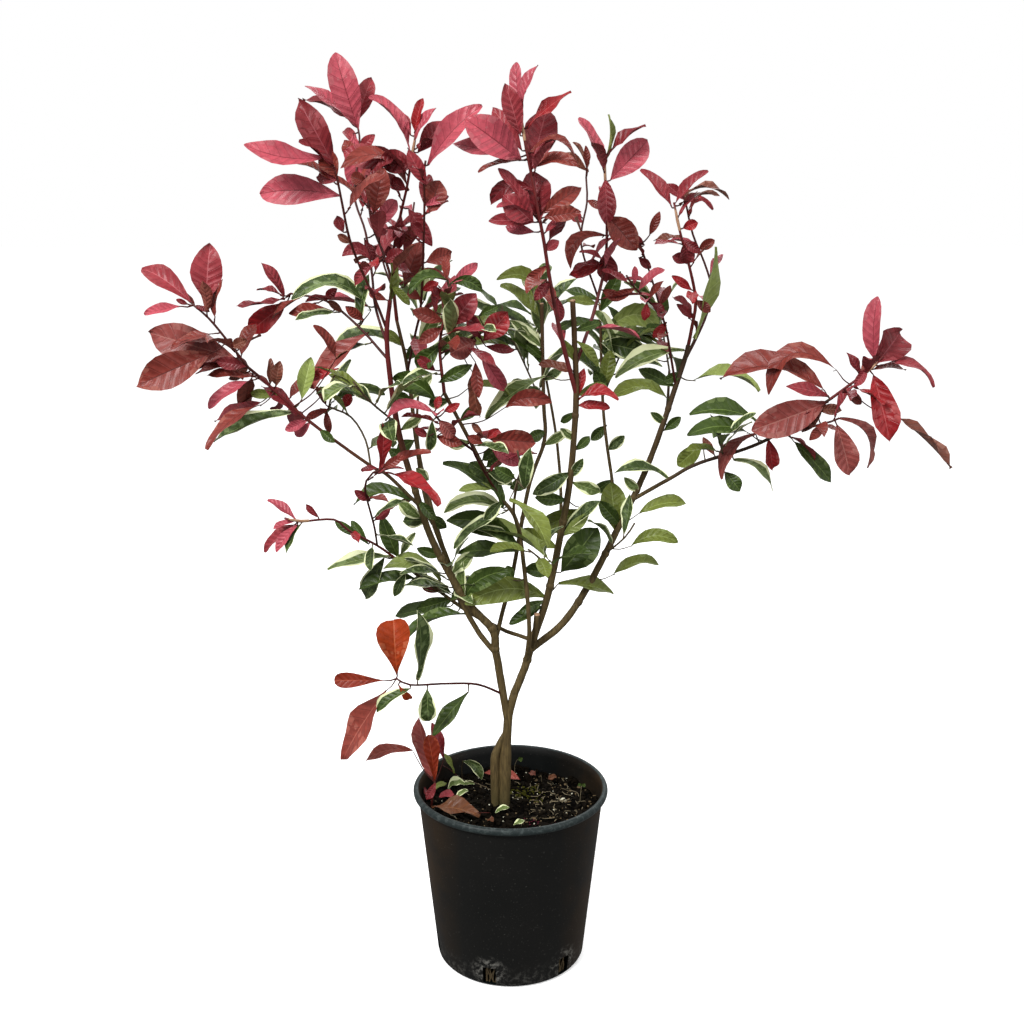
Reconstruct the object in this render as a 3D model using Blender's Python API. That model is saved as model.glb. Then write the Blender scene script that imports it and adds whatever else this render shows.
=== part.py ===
"""Red tip photinia shrub in a nursery pot: pot, potting mix, trunk, boughs and masses of foliage.

Metres, +Z up. The origin is the centre of the pot's underside, +X is to the right and -Y is the front.
"""
import math
import random

import bmesh
import bpy
from mathutils import Vector
from mathutils.bvhtree import BVHTree

MM = 0.001
GAP = 0.0003
JOINT = 1e-6

# Pot and potting mix
POT_HEIGHT = 0.243
RIM_RADIUS = 0.130
BASE_RADIUS = 0.100
WALL_TOP_RADIUS = 0.1235
WALL = 0.0022
FLOOR = 0.0030
LIP_HEIGHT = 0.010
POT_SIDES = 40
SLOT_COUNT = 6
SLOT_FIRST_AZIMUTH = -106.0
SLOT_WIDTH = 0.018
SLOT_HEIGHT = 0.025
SLOT_DEPTH = 0.014
SLOT_FOOT = FLOOR + 0.0012
SOIL_TOP = 0.2135

# Limbs. Points and radii are in mm, and the two stems of the foot start just under the soil line.
TRUNK_SIDES = 10
BOUGH_SIDES = 8
TWIG_SIDES = 3
RING_STEP = 0.055
COLLAR_FLARE = 1.08
COLLAR_LONGEST = 0.034
KNEE = 0.004
TRUNK_POINTS = [(-8, -5, 208), (-8, -5, 236), (-7.5, -4, 264), (-6.6, -3, 293), (-4.5, -2, 318),
                (-2.5, -1, 342), (5, 1, 372)]
TRUNK_RADII = [7.4, 7.6, 8.6, 7.6, 5.8, 5.6, 5.5]
SECOND_STEM_POINTS = [(-20, -5, 208), (-20.3, -5, 229), (-20.5, -5, 251), (-20.4, -4, 272),
                      (-19, -3, 292), (-11, -2, 312)]
SECOND_STEM_RADII = [5.8, 6.0, 6.2, 6.5, 5.6, 3.4]
STUB_POINTS = [(28, 1, 437), (31, -9, 452), (34, -15, 487)]
STUB_RADII = [3.6, 3.8, 3.6]
LOW_SHOOT_FOOT = [(-106, -8, 205), (-106, -8, 213.5)]
LOW_SHOOT_RADII = [2.0, 2.0]
SHOOT_RADII = (2.2, 1.5)
SIDE_SHOOT_RADII = (1.8, 1.3)

# Leaves
SPIRAL_WIDTH = 0.36
LEAST_WIDTH = 0.20
LEAF_THICKNESS = 0.018
LEAF_ROOT = (0.0008, 0.0006)
LEAF_WIDEST = 0.52
LEAF_ARCH = 0.03
LEAF_DROOP = 0.06
SPIRAL = math.radians(144.0)
SPIRAL_FIRST = 0.30
CLEARANCE = 0.0006
SPACE_ROOM = 0.115
BLADE_START = 0.25
TURNS = (0, 12, -12, 24, -24, 36, -36, 48, -48)
SKYWARD = Vector((0.0, -0.35, 1.0))
FRONT = Vector((0.0, -1.0, 0.12))

# Each bough: its parent, the height where it leaves it (0 is the parent's tip), the points it
# passes in mm, and its radius in mm at the foot and at the tip.
BOUGHS = {
    "right_leader": ("trunk", 0, [(14, 2, 395), (20, 2, 412), (27, 3, 438), (33, 2, 458)], 5.4, 5.2),
    "left_leader": ("trunk", 336, [(-12, -2, 385), (-17, -3, 419), (-20, -4, 436), (-20, -6, 452),
                                   (-24, -8, 465), (-34, -10, 477)], 5.0, 5.3),
    "left_bough": ("left_leader", 0, [(-54, -15, 501), (-76, -20, 540), (-98, -28, 588),
                                      (-114, -40, 643), (-135, -60, 735), (-144, -80, 838),
                                      (-139, -84, 890)], 5.2, 2.6),
    "left_back_bough": ("left_leader", 432, [(-36, 0, 449), (-46, 2, 464), (-60, 4, 491),
                                             (-77, 10, 540), (-107, 16, 625), (-120, 20, 710),
                                             (-129, 24, 796), (-142, 30, 857)], 3.6, 2.2),
    "low_left_bough": ("right_leader", 445, [(10, 20, 446), (-3, 27, 448), (-14, 31, 452),
                                             (-56, 42, 471), (-108, 32, 514), (-150, 16, 553)], 2.8, 2.0),
    "middle_left_bough": ("right_leader", 414, [(24, -22, 470), (18, -20, 544), (7, -30, 615),
                                                (-18, -42, 655), (-51, -60, 725), (-78, -80, 782)], 3.0, 2.3),
    "back_bough": ("left_leader", 446, [(-10, 16, 482), (2, 36, 522), (24, 80, 632), (45, 100, 692),
                                        (44, 110, 744), (41, 124, 871)], 2.9, 2.4),
    "centre_bough": ("right_leader", 0, [(47, 0, 503), (61, -10, 577), (74, -20, 663), (80, -30, 765),
                                         (77, -35, 839), (74, -40, 887)], 4.9, 3.2),
    "right_bough": ("right_leader", 436, [(69, 10, 467), (104, 20, 519), (140, 30, 590), (179, 45, 673),
                                          (221, 60, 797), (228, 65, 822)], 5.0, 3.2),
    "long_right_bough": ("right_bough", 627, [(205, 30, 655), (240, 20, 677), (317, 0, 709),
                                              (390, -30, 767)], 2.6, 1.8),
    "right_back_bough": ("right_bough", 590, [(138, 70, 615), (136, 100, 640), (126, 140, 726),
                                              (121, 172, 866)], 2.4, 1.9),
    "long_left_bough": ("left_bough", 640, [(-150, -62, 680), (-168, -70, 692), (-238, -90, 751),
                                            (-290, -100, 803)], 2.3, 1.7),
    "back_left_bough": ("left_back_bough", 560, [(-105, 60, 615), (-125, 115, 690), (-125, 160, 775)],
                        2.2, 1.6),
    "back_centre_bough": ("centre_bough", 560, [(66, 50, 615), (62, 120, 690), (48, 190, 770)], 2.3, 1.7),
    "back_right_bough": ("right_bough", 690, [(205, 90, 730), (214, 140, 780)], 2.2, 1.7),
    "front_bough": ("middle_left_bough", 596, [(4, -85, 640), (8, -140, 690)], 2.0, 1.5),
}

# Each mass: its parent, then its shoots. A shoot has the height where it leaves the parent (the
# first) or the mass's own stem (0 is the tip), the points it passes in mm, the count of leaves set
# by the spiral, their longest and shortest length in mm, and the leaves that make the outline:
# mm below the shoot's tip, clock angle seen from the front, lean to the back, length, width.
FOLIAGE = {
    "upper_left_foliage": ("left_bough", [
        (862, [(-155, -90, 890), (-169, -100, 925), (-179, -120, 960), (-184, -140, 1002),
               (-189, -150, 1038)], 4, 70, 45,
         [(0, 166, -15, 96, 23), (33, 178, 10, 96, 32), (3, 120, 20, 81, 9), (0, 118, -5, 76, 29),
          (7, 132, -20, 50, 6), (13, 116, 0, 32, 20)]),
    ]),
    "top_foliage": ("left_bough", [
        (842, [(-160, -48, 880), (-167, -10, 915), (-178, 30, 964), (-194, 60, 1009),
               (-188, 80, 1067), (-190, 84, 1090)], 6, 80, 45,
         [(2, 105, -15, 93, 35), (0, 149, 20, 87, 11), (0, 138, -5, 81, 13), (5, 271, 0, 76, 33),
          (0, 75, 10, 66, 23), (41, 126, 5, 30, 16), (28, 43, -20, 29, 13)]),
    ]),
    "upper_inner_foliage": ("left_bough", [
        (0, [(-137, -85, 913), (-147, -80, 946), (-160, -70, 980), (-165, -60, 1030)], 4, 65, 40,
         [(43, 70, -11, 53, 26), (98, 218, 10, 51, 11), (147, 83, 0, 49, 9), (95, 180, -15, 48, 14),
          (62, 52, 15, 43, 18), (68, 271, -7, 32, 9), (130, 316, -20, 32, 9)]),
    ]),
    "upper_middle_foliage": ("left_back_bough", [
        (0, [(-144, 12, 905), (-141, 0, 944), (-129, -20, 991), (-122, -30, 1014),
               (-113, -40, 1056), (-109, -44, 1076)], 3, 70, 40,
         [(39, 166, 10, 86, 27), (65, 161, -16, 81, 17), (19, 126, -5, 76, 12), (192, 60, 22, 70, 25),
          (87, 308, -15, 58, 17), (20, 43, 5, 52, 22), (7, 53, -20, 46, 10), (95, 264, 10, 44, 14),
          (0, 76, 0, 40, 11), (2, 122, 21, 38, 9), (38, 164, -11, 37, 27), (131, 26, -5, 32, 16)]),
        (900, [(-160, 50, 930), (-174, 95, 984)], 5, 70, 45,
         [(18, 90, 50, 70, 25)]),
        (915, [(-128, 50, 950), (-122, 88, 1000)], 5, 70, 45,
         [(19, 60, 50, 60, 22)]),
    ]),
    "left_spire_foliage": ("left_back_bough", [
        (800, [(-116, -10, 845), (-106, -40, 887), (-98, -76, 996), (-98, -84, 1026),
               (-95, -90, 1045)], 6, 60, 40,
         [(5, 46, -20, 93, 25), (28, 113, -11, 42, 16), (59, 64, 5, 39, 27), (119, 18, 15, 37, 19),
          (51, 21, 10, 30, 9)]),
    ]),
    "centre_foliage": ("centre_bough", [
        (780, [(60, -54, 846), (46, -70, 912), (37, -90, 963), (31, -100, 991),
               (26, -105, 1018), (18, -110, 1055), (10, -110, 1100)], 1, 60, 40,
         [(50, 170, 10, 85, 19), (54, 149, -16, 81, 37), (68, 75, 20, 76, 36), (116, 132, -10, 68, 14),
          (22, 38, 0, 65, 13), (45, 129, 16, 62, 19), (125, 178, -5, 59, 15), (48, 354, 5, 58, 8),
          (29, 111, -11, 57, 21), (55, 189, -5, 57, 7), (126, 97, 10, 57, 32), (7, 98, 0, 55, 14),
          (68, 5, -20, 55, 14), (89, 197, 15, 55, 17), (117, 33, 0, 55, 19), (5, 74, -20, 54, 9),
          (124, 146, -16, 52, 29), (121, 9, -20, 49, 16), (127, 350, 5, 47, 9), (136, 175, 20, 44, 12),
          (140, 35, -10, 37, 8), (5, 76, 5, 35, 7), (179, 221, 15, 35, 12), (219, 287, 11, 31, 12),
          (198, 231, -15, 30, 12)]),
    ]),
    "centre_right_foliage": ("centre_bough", [
        (815, [(94, -18, 849), (104, -6, 879), (116, 10, 931), (117, 20, 991),
               (114, 20, 1035), (114, 20, 1055)], 3, 65, 45,
         [(15, 117, 20, 72, 15), (30, 43, 5, 71, 32), (5, 43, -20, 63, 9), (94, 222, -5, 60, 15),
          (70, 311, -15, 57, 31), (27, 273, -10, 56, 22), (6, 83, 0, 53, 5), (127, 202, 20, 49, 15),
          (129, 187, 0, 41, 7), (122, 46, 5, 41, 8), (113, 274, 10, 39, 25), (127, 152, -20, 36, 6)]),
        (890, [(88, 50, 950), (96, 75, 1000), (95, 82, 1030)], 4, 50, 35,
         [(0, 106, 15, 50, 5), (0, 131, 11, 42, 12), (0, 93, -15, 40, 8)]),
    ]),
    "right_red_foliage": ("right_bough", [
        (0, [(231, 50, 855), (232, 40, 881), (221, 20, 919), (204, 0, 967), (196, 0, 1000)], 5, 45, 35,
         [(6, 131, 0, 60, 15), (3, 49, -20, 56, 11), (4, 19, 5, 56, 6), (118, 148, -15, 34, 10),
          (42, 189, 10, 34, 7), (158, 141, -20, 31, 10), (49, 286, 18, 30, 18)]),
    ]),
    "right_outer_foliage": ("right_bough", [
        (806, [(250, 80, 853), (259, 90, 890), (250, 100, 925), (234, 100, 960),
               (222, 100, 1006)], 5, 50, 35,
         [(0, 1, 5, 58, 7), (18, 8, -10, 32, 7), (3, 140, 15, 32, 12)]),
    ]),
    "right_inner_foliage": ("right_bough", [
        (775, [(192, 30, 855), (172, 5, 880), (150, -14, 900), (139, -20, 915)], 5, 48, 35,
         [(27, 39, 20, 45, 10), (69, 58, 5, 33, 9), (21, 206, 10, 32, 11), (49, 58, -20, 31, 7)]),
        (850, [(176, 30, 905), (160, 34, 950)], 3, 45, 32,
         [(0, 61, -15, 45, 10)]),
    ]),
    "far_left_foliage": ("long_left_bough", [
        (0, [(-302, -105, 815), (-324, -110, 847), (-342, -115, 872), (-357, -120, 887)], 3, 70, 45,
         [(76, 168, 15, 116, 42), (54, 206, -15, 113, 38), (0, 147, 20, 83, 22), (10, 80, 0, 75, 35),
          (105, 180, 0, 58, 10), (0, 188, -20, 55, 11), (90, 171, -5, 36, 14), (96, 202, 20, 34, 10)]),
        (812, [(-318, -70, 818), (-330, -40, 830)], 3, 60, 45,
         [(10, 150, 30, 60, 22)]),
    ]),
    "left_low_foliage": ("long_left_bough", [
        (770, [(-270, -70, 776), (-285, -60, 786)], 3, 60, 45,
         [(21, 204, 0, 100, 36), (12, 218, 25, 70, 25), (40, 215, -20, 60, 22), (4, 80, 10, 52, 19)]),
    ]),
    "left_inner_foliage": ("long_left_bough", [
        (693, [(-175, -56, 721), (-194, -38, 746), (-223, -20, 756)], 4, 75, 50,
         [(1, 16, 21, 72, 15), (0, 67, 10, 64, 15), (1, 204, -20, 35, 9), (0, 269, 0, 32, 9),
          (0, 119, -5, 29, 7)]),
    ]),
    "left_arch_foliage": ("left_bough", [
        (824, [(-179, -58, 857), (-219, -40, 886), (-263, -30, 894)], 2, 70, 40,
         [(112, 219, 5, 97, 24), (95, 156, -14, 81, 17), (0, 221, 20, 80, 27), (0, 188, -5, 66, 6),
          (61, 188, 15, 62, 16), (0, 129, -17, 50, 11), (0, 172, 10, 42, 5), (98, 118, -25, 30, 11)]),
    ]),
    "left_green_foliage": ("left_bough", [
        (745, [(-165, -95, 775), (-180, -115, 800)], 7, 85, 60,
         [(13, 170, 0, 85, 31), (28, 200, -20, 80, 29), (5, 60, -20, 70, 25)]),
    ]),
    "middle_foliage": ("middle_left_bough", [
        (0, [(-82, -90, 839), (-73, -100, 880), (-69, -108, 905)], 4, 75, 45,
         [(128, 166, 11, 65, 24), (43, 42, -11, 53, 27), (0, 186, -18, 47, 11), (0, 40, 15, 44, 12),
          (114, 31, -19, 42, 14), (70, 225, 15, 41, 21), (0, 352, 12, 38, 14), (0, 98, 20, 38, 9),
          (41, 160, 0, 38, 16), (32, 109, -6, 34, 8), (49, 211, -20, 33, 14), (77, 38, 5, 33, 14),
          (100, 151, -5, 33, 12)]),
        (830, [(-40, -96, 850), (-20, -100, 862)], 3, 65, 45,
         [(46, 284, 10, 93, 13), (28, 300, 15, 78, 18), (38, 284, -15, 67, 13), (19, 335, -6, 44, 10),
          (19, 36, 6, 41, 26), (26, 215, 0, 34, 26), (21, 111, -26, 32, 15), (8, 66, -14, 31, 9)]),
    ]),
    "middle_front_foliage": ("middle_left_bough", [
        (652, [(-34, -72, 690), (-45, -100, 722), (-36, -124, 742)], 5, 75, 50,
         [(0, 348, 10, 68, 26), (50, 348, -6, 54, 17)]),
    ]),
    "middle_low_foliage": ("middle_left_bough", [
        (706, [(-70, -90, 735), (-90, -118, 766)], 4, 60, 40,
         [(1, 190, 20, 63, 12), (11, 257, 16, 47, 12), (26, 185, -18, 34, 9), (12, 33, -20, 33, 9)]),
    ]),
    "front_foliage": ("front_bough", [
        (0, [(14, -165, 722), (14, -180, 750)], 8, 85, 55,
         [(6, 175, -20, 85, 31), (11, 20, -20, 75, 27)]),
    ]),
    "back_foliage": ("back_bough", [
        (740, [(18, 145, 790), (-6, 160, 840), (-12, 165, 865)], 10, 90, 60,
         [(16, 120, 20, 80, 29), (21, 30, 30, 80, 29)]),
    ]),
    "back_centre_foliage": ("back_centre_bough", [
        (0, [(36, 226, 838), (32, 238, 880)], 12, 90, 60,
         [(10, 90, 50, 80, 29), (20, 180, 40, 80, 29)]),
    ]),
    "back_left_foliage": ("back_left_bough", [
        (0, [(-122, 190, 845), (-128, 202, 890)], 12, 90, 60,
         [(11, 150, 50, 80, 29), (32, 40, 50, 80, 29)]),
    ]),
    "back_right_foliage": ("back_right_bough", [
        (0, [(208, 168, 825), (200, 180, 862)], 11, 85, 60,
         [(13, 30, 50, 80, 29), (17, 180, 20, 70, 25)]),
    ]),
    "right_back_foliage": ("right_back_bough", [
        (745, [(146, 165, 790), (160, 172, 820)], 8, 85, 60,
         [(9, 200, 0, 80, 29), (14, 0, 20, 70, 25)]),
    ]),
    "right_low_foliage": ("right_bough", [
        (560, [(150, 0, 590), (172, -10, 622), (184, -14, 650)], 2, 70, 55,
         [(21, 4, 10, 64, 23), (65, 16, -10, 62, 22), (6, 20, -10, 60, 22), (1, 105, -10, 60, 22)]),
    ]),
    "right_far_foliage": ("long_right_bough", [
        (0, [(410, -40, 786), (434, -50, 809), (444, -52, 822)], 3, 60, 45,
         [(57, 323, -15, 157, 11), (51, 186, -11, 104, 17), (22, 289, -5, 91, 33), (14, 344, 10, 85, 12),
          (12, 91, 15, 79, 18), (11, 59, -15, 47, 37), (35, 120, 0, 33, 10)]),
    ]),
    "right_middle_foliage": ("long_right_bough", [
        (718, [(356, -22, 727), (377, -30, 735), (391, -35, 740), (400, -40, 745)], 3, 60, 45,
         [(6, 289, 0, 71, 28), (0, 298, -20, 69, 13), (24, 28, 30, 38, 13)]),
    ]),
    "right_green_foliage": ("long_right_bough", [
        (690, [(270, -20, 720), (272, -30, 742)], 6, 70, 55,
         [(5, 162, 0, 86, 31), (12, 180, 20, 76, 27), (15, 345, -20, 70, 25), (22, 215, 0, 45, 16)]),
    ]),
    "low_centre_foliage": ("centre_bough", [
        (548, [(30, -48, 575), (4, -70, 598), (-18, -78, 622)], 6, 85, 65,
         [(47, 186, -10, 90, 32), (30, 140, -20, 85, 31), (5, 100, 0, 80, 29)]),
        (570, [(44, -80, 590), (64, -96, 612)], 4, 80, 60,
         [(18, 0, -10, 80, 29), (7, 50, 0, 75, 27)]),
    ]),
    "low_left_inner_foliage": ("low_left_bough", [
        (480, [(-76, 20, 515), (-86, 0, 545)], 8, 75, 55,
         [(24, 200, -20, 80, 29), (18, 165, 0, 80, 29), (32, 190, 0, 60, 22)]),
    ]),
    "left_tip_foliage": ("low_left_bough", [
        (0, [(-170, -4, 575), (-201, -40, 604), (-216, -60, 623), (-250, -96, 630),
               (-268, -105, 636)], 2, 55, 40,
         [(16, 225, 15, 64, 12), (17, 234, -15, 46, 11), (15, 141, 5, 42, 8), (144, 137, 23, 38, 12),
          (123, 146, -5, 36, 11), (15, 194, -10, 29, 6)]),
        (578, [(-168, -50, 612), (-172, -100, 672), (-160, -118, 694)], 3, 55, 40,
         [(0, 335, -10, 87, 12), (0, 18, 5, 72, 8), (0, 75, 0, 60, 13), (0, 32, -20, 47, 10)]),
    ]),
    "low_left_foliage": ("left_leader", [
        (374, [(-42, -24, 394), (-80, -46, 404), (-125, -76, 414), (-142, -80, 424)], 0, 60, 50,
         [(0, 235, -15, 121, 28), (31, 84, -5, 98, 16), (106, 236, 0, 87, 17), (0, 188, 15, 84, 21),
          (0, 90, -10, 82, 41), (20, 220, 10, 64, 12), (45, 269, 20, 64, 22)]),
    ]),
    "low_shoot_foliage": ("soil", [
        (0, [(-104, -9, 232), (-101, -10, 250)], 0, 40, 30,
         [(0, 163, 6, 100, 11), (0, 105, 10, 90, 20), (0, 94, 21, 79, 14), (0, 93, -5, 70, 23)]),
    ]),
}

GREEN_MASSES = ("left_inner_foliage", "left_green_foliage", "front_foliage", "back_foliage",
                "back_centre_foliage", "back_left_foliage", "back_right_foliage", "right_back_foliage",
                "right_low_foliage", "right_green_foliage", "low_centre_foliage",
                "low_left_inner_foliage")
RED_LEAF = (0.30, 0.06, 0.07)
GREEN_LEAF = (0.10, 0.20, 0.06)

built = {}
paths = {}
joins = {}


def material(name, colour, roughness):
    mat = bpy.data.materials.new(name)
    mat.use_nodes = True
    shader = mat.node_tree.nodes["Principled BSDF"]
    shader.inputs["Base Color"].default_value = (*colour, 1.0)
    shader.inputs["Roughness"].default_value = roughness
    shader.inputs["Metallic"].default_value = 0.0
    return mat


def add_object(name, bm):
    """Store a bmesh as an object whose triangles all face outward."""
    bmesh.ops.recalc_face_normals(bm, faces=bm.faces)
    mesh = bpy.data.meshes.new(name)
    bm.to_mesh(mesh)
    bm.free()
    obj = bpy.data.objects.new(name, mesh)
    bpy.context.scene.collection.objects.link(obj)
    return obj


def apply_modifiers(obj):
    graph = bpy.context.evaluated_depsgraph_get()
    graph.update()
    mesh = bpy.data.meshes.new_from_object(obj.evaluated_get(graph))
    old = obj.data
    obj.modifiers.clear()
    obj.data = mesh
    bpy.data.meshes.remove(old)


def largest_piece(obj):
    """Keep the largest closed shell, so no scrap or sealed hollow is left from a union."""
    bm = bmesh.new()
    bm.from_mesh(obj.data)
    left = set(bm.verts)
    shells = []
    while left:
        shell, front = set(), [left.pop()]
        while front:
            vert = front.pop()
            shell.add(vert)
            for edge in vert.link_edges:
                other = edge.other_vert(vert)
                if other in left:
                    left.remove(other)
                    front.append(other)
        shells.append(shell)
    shells.sort(key=len)
    for shell in shells[:-1]:
        bmesh.ops.delete(bm, geom=list(shell), context="VERTS")
    bm.to_mesh(obj.data)
    bm.free()


def join(name, pieces):
    """Fuse overlapping pieces into one body with a single union, and remove the pieces."""
    first, rest = pieces[0], pieces[1:]
    first.name = name
    if rest:
        group = bpy.data.collections.new(name + "_pieces")
        for piece in rest:
            bpy.context.scene.collection.objects.unlink(piece)
            group.objects.link(piece)
        bpy.context.scene.collection.children.link(group)
        union = first.modifiers.new("union", "BOOLEAN")
        union.operation = "UNION"
        union.operand_type = "COLLECTION"
        union.collection = group
        union.solver = "EXACT"
        apply_modifiers(first)
        for piece in rest:
            mesh = piece.data
            bpy.data.objects.remove(piece)
            bpy.data.meshes.remove(mesh)
        bpy.data.collections.remove(group)
        largest_piece(first)
    return first


def smooth_path(points, step):
    """Points about one step apart on a Catmull-Rom curve through the given ones."""
    pts = [points[0] * 2 - points[1], *points, points[-1] * 2 - points[-2]]
    out = [points[0]]
    for a, b, c, d in zip(pts, pts[1:], pts[2:], pts[3:]):
        count = max(1, round((c - b).length / step))
        for i in range(1, count + 1):
            t = i / count
            out.append(0.5 * (2 * b + (c - a) * t + (2 * a - 5 * b + 4 * c - d) * t ** 2
                              + (3 * b - a - 3 * c + d) * t ** 3))
    return out


def sweep(path, wide, thick, sides, side_axis=None):
    """A closed tapering body: a grid rolled round a path, with the given half sizes at each point."""
    last = len(path) - 1
    across = side_axis or (path[1] - path[0]).orthogonal()
    rings = []
    for i, centre in enumerate(path):
        along = (path[min(i + 1, last)] - path[max(i - 1, 0)]).normalized()
        across = (across - along * across.dot(along)).normalized()
        rings.append((centre, across * wide[i], along.cross(across) * thick[i]))
    bm = bmesh.new()
    bmesh.ops.create_grid(bm, x_segments=sides, y_segments=last, size=1.0)
    for vert in bm.verts:
        centre, right, up = rings[round((vert.co.y + 1) / 2 * last)]
        angle = math.pi * (vert.co.x + 1)
        vert.co = centre + right * math.cos(angle) + up * math.sin(angle)
    bmesh.ops.remove_doubles(bm, verts=bm.verts, dist=JOINT)
    bmesh.ops.holes_fill(bm, edges=bm.edges)
    bmesh.ops.triangulate(bm, faces=bm.faces)
    return bm


def mm_points(points):
    return [Vector(point) * MM for point in points]


def mm_sizes(sizes):
    return [size * MM for size in sizes]


def tapered(path, foot, tip):
    """Radii along a path that run evenly from its foot to its tip."""
    spans = [(b - a).length for a, b in zip(path, path[1:])]
    return [foot + (tip - foot) * sum(spans[:i]) / sum(spans) for i in range(len(path))]


def at_height(path, radii, height):
    """The point, direction and radius of a limb where it passes a height; 0 is its tip."""
    if height == 0:
        return path[-1], (path[-1] - path[-2]).normalized(), radii[-1]
    spans = list(zip(path, path[1:], radii, radii[1:]))
    for a, b, ra, rb in spans:
        if a.z <= height <= b.z or b.z <= height <= a.z:
            t = (height - a.z) / (b.z - a.z)
            return a.lerp(b, t), (b - a).normalized(), ra + (rb - ra) * t
    a, b, ra, rb = min(spans, key=lambda span: min(abs(span[0].z - height), abs(span[1].z - height)))
    if abs(a.z - height) < abs(b.z - height):
        return a, (b - a).normalized(), ra
    return b, (b - a).normalized(), rb


def below_tip(path, distance):
    """The point of a shoot that lies a distance back from its tip."""
    for b, a in zip(path[::-1], path[-2::-1]):
        span = (b - a).length
        if distance <= span:
            return b.lerp(a, distance / span)
        distance -= span
    return path[0]


def tree_of(obj):
    bm = bmesh.new()
    bm.from_mesh(obj.data)
    tree = BVHTree.FromBMesh(bm)
    bm.free()
    return tree


def start_limb(name, parent, height, points, foot, tip, sides):
    """A limb that begins a hair's breadth above a short collar, which is added to its parent."""
    origin, along, parent_radius = at_height(*paths[parent], height * MM)
    if height == 0:
        start = origin + along * GAP
        knee = start + along * KNEE
    else:
        toward = (points[0] - origin).normalized()
        sine = max(math.sin(toward.angle(along)), 0.2)
        reach = min(max((parent_radius + foot + 0.0008) / sine, parent_radius + 0.003), COLLAR_LONGEST)
        end = origin + toward * reach
        sizes = [foot * COLLAR_FLARE, foot]
        joins.setdefault(parent, []).append(
            add_object(name + "_collar", sweep([origin, end], sizes, sizes, sides)))
        start = end + toward * GAP
        knee = start + toward * KNEE
    rest = [point for point in points if (point - knee).length > KNEE * 1.5]
    path = [start, *smooth_path([knee, *rest], RING_STEP)]
    radii = tapered(path, foot, tip)
    paths[name] = (path, radii)
    return add_object(name, sweep(path, radii, radii, sides))


def leaf(root, way, length, width, face, grow=0.0):
    """A flat three-sided blade: narrow at its root, widest past the middle, pointed at the tip."""
    across = way.cross(face).normalized()
    up = across.cross(way)
    tip = root + way * (length + grow) - up * length * LEAF_DROOP
    middle = root + way * length * LEAF_WIDEST + up * length * LEAF_ARCH
    wide = [LEAF_ROOT[0] + grow, width / 2 + grow, 0.0]
    thick = [LEAF_ROOT[1] + grow, length * LEAF_THICKNESS + grow, 0.0]
    return sweep([root, middle, tip], wide, thick, TWIG_SIDES, across)


def outline_leaves(path, rows):
    """The root, way, length, width and face of each leaf that shows in the crown's outline."""
    wanted = []
    for back, clock, lean, length, width in rows:
        clock, lean = math.radians(clock), math.radians(lean)
        way = Vector((math.cos(clock) * math.cos(lean), math.sin(lean), math.sin(clock) * math.cos(lean)))
        wanted.append((below_tip(path, back * MM), way, length * MM, max(width, length * LEAST_WIDTH) * MM,
                       FRONT))
    return wanted


def spiral_leaves(path, count, longest, shortest, seed):
    """The same for the leaves that fill a shoot, set in a spiral, shorter towards its tip."""
    dice = random.Random(seed)
    wanted = []
    for i in range(count):
        share = SPIRAL_FIRST + (1 - SPIRAL_FIRST) * (i + 0.5) / count
        place = share * (len(path) - 1)
        a, b = path[int(place)], path[int(place) + 1]
        along = (b - a).normalized()
        side = along.orthogonal().normalized()
        spin = SPIRAL * i + dice.uniform(-0.3, 0.3) + seed
        out = side * math.cos(spin) + along.cross(side) * math.sin(spin)
        spread = math.radians(72 - 34 * share + dice.uniform(-8, 8))
        way = along * math.cos(spread) + out * math.sin(spread) - Vector((0.0, 0.0, 0.18))
        length = (longest + (shortest - longest) * share) * dice.uniform(0.9, 1.1) * MM
        wanted.append((a.lerp(b, place - int(place)), way.normalized(), length, length * SPIRAL_WIDTH,
                       SKYWARD))
    return wanted


def grow_leaves(name, wanted, blocked, space, blades):
    """Leaves turned to the back or front until they are free; one that never is gets skipped."""
    made = []
    for root, way, length, width, face in wanted:
        for turn in TURNS:
            bent = Vector((way.x, way.y + math.tan(math.radians(turn)), way.z)).normalized()
            tip = root + bent * length
            inside = all(low <= value <= high for low, value, high in zip(space[0], tip, space[1]))
            test = leaf(root, bent, length, width, face, CLEARANCE)
            shape = BVHTree.FromBMesh(test)
            test.free()
            outer = leaf(root + bent * length * BLADE_START, bent, length * (1 - BLADE_START), width, face)
            blade = BVHTree.FromBMesh(outer)
            outer.free()
            touches = any(shape.overlap(other) for other in blocked)
            if inside and not touches and not any(blade.overlap(other) for other in blades):
                made.append(add_object(name + "_leaf", leaf(root, bent, length, width, face)))
                blades.append(blade)
                break
    return made


def turned(outline):
    """A body turned round the Z axis from (radius, height) points."""
    bm = bmesh.new()
    verts = [bm.verts.new((r, 0.0, z)) for r, z in outline]
    edges = [bm.edges.new(pair) for pair in zip(verts, verts[1:])]
    bmesh.ops.spin(bm, geom=verts + edges, cent=(0, 0, 0), axis=(0, 0, 1), angle=2 * math.pi,
                   steps=POT_SIDES, use_merge=True)
    bmesh.ops.remove_doubles(bm, verts=bm.verts, dist=JOINT)
    return bm


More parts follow.
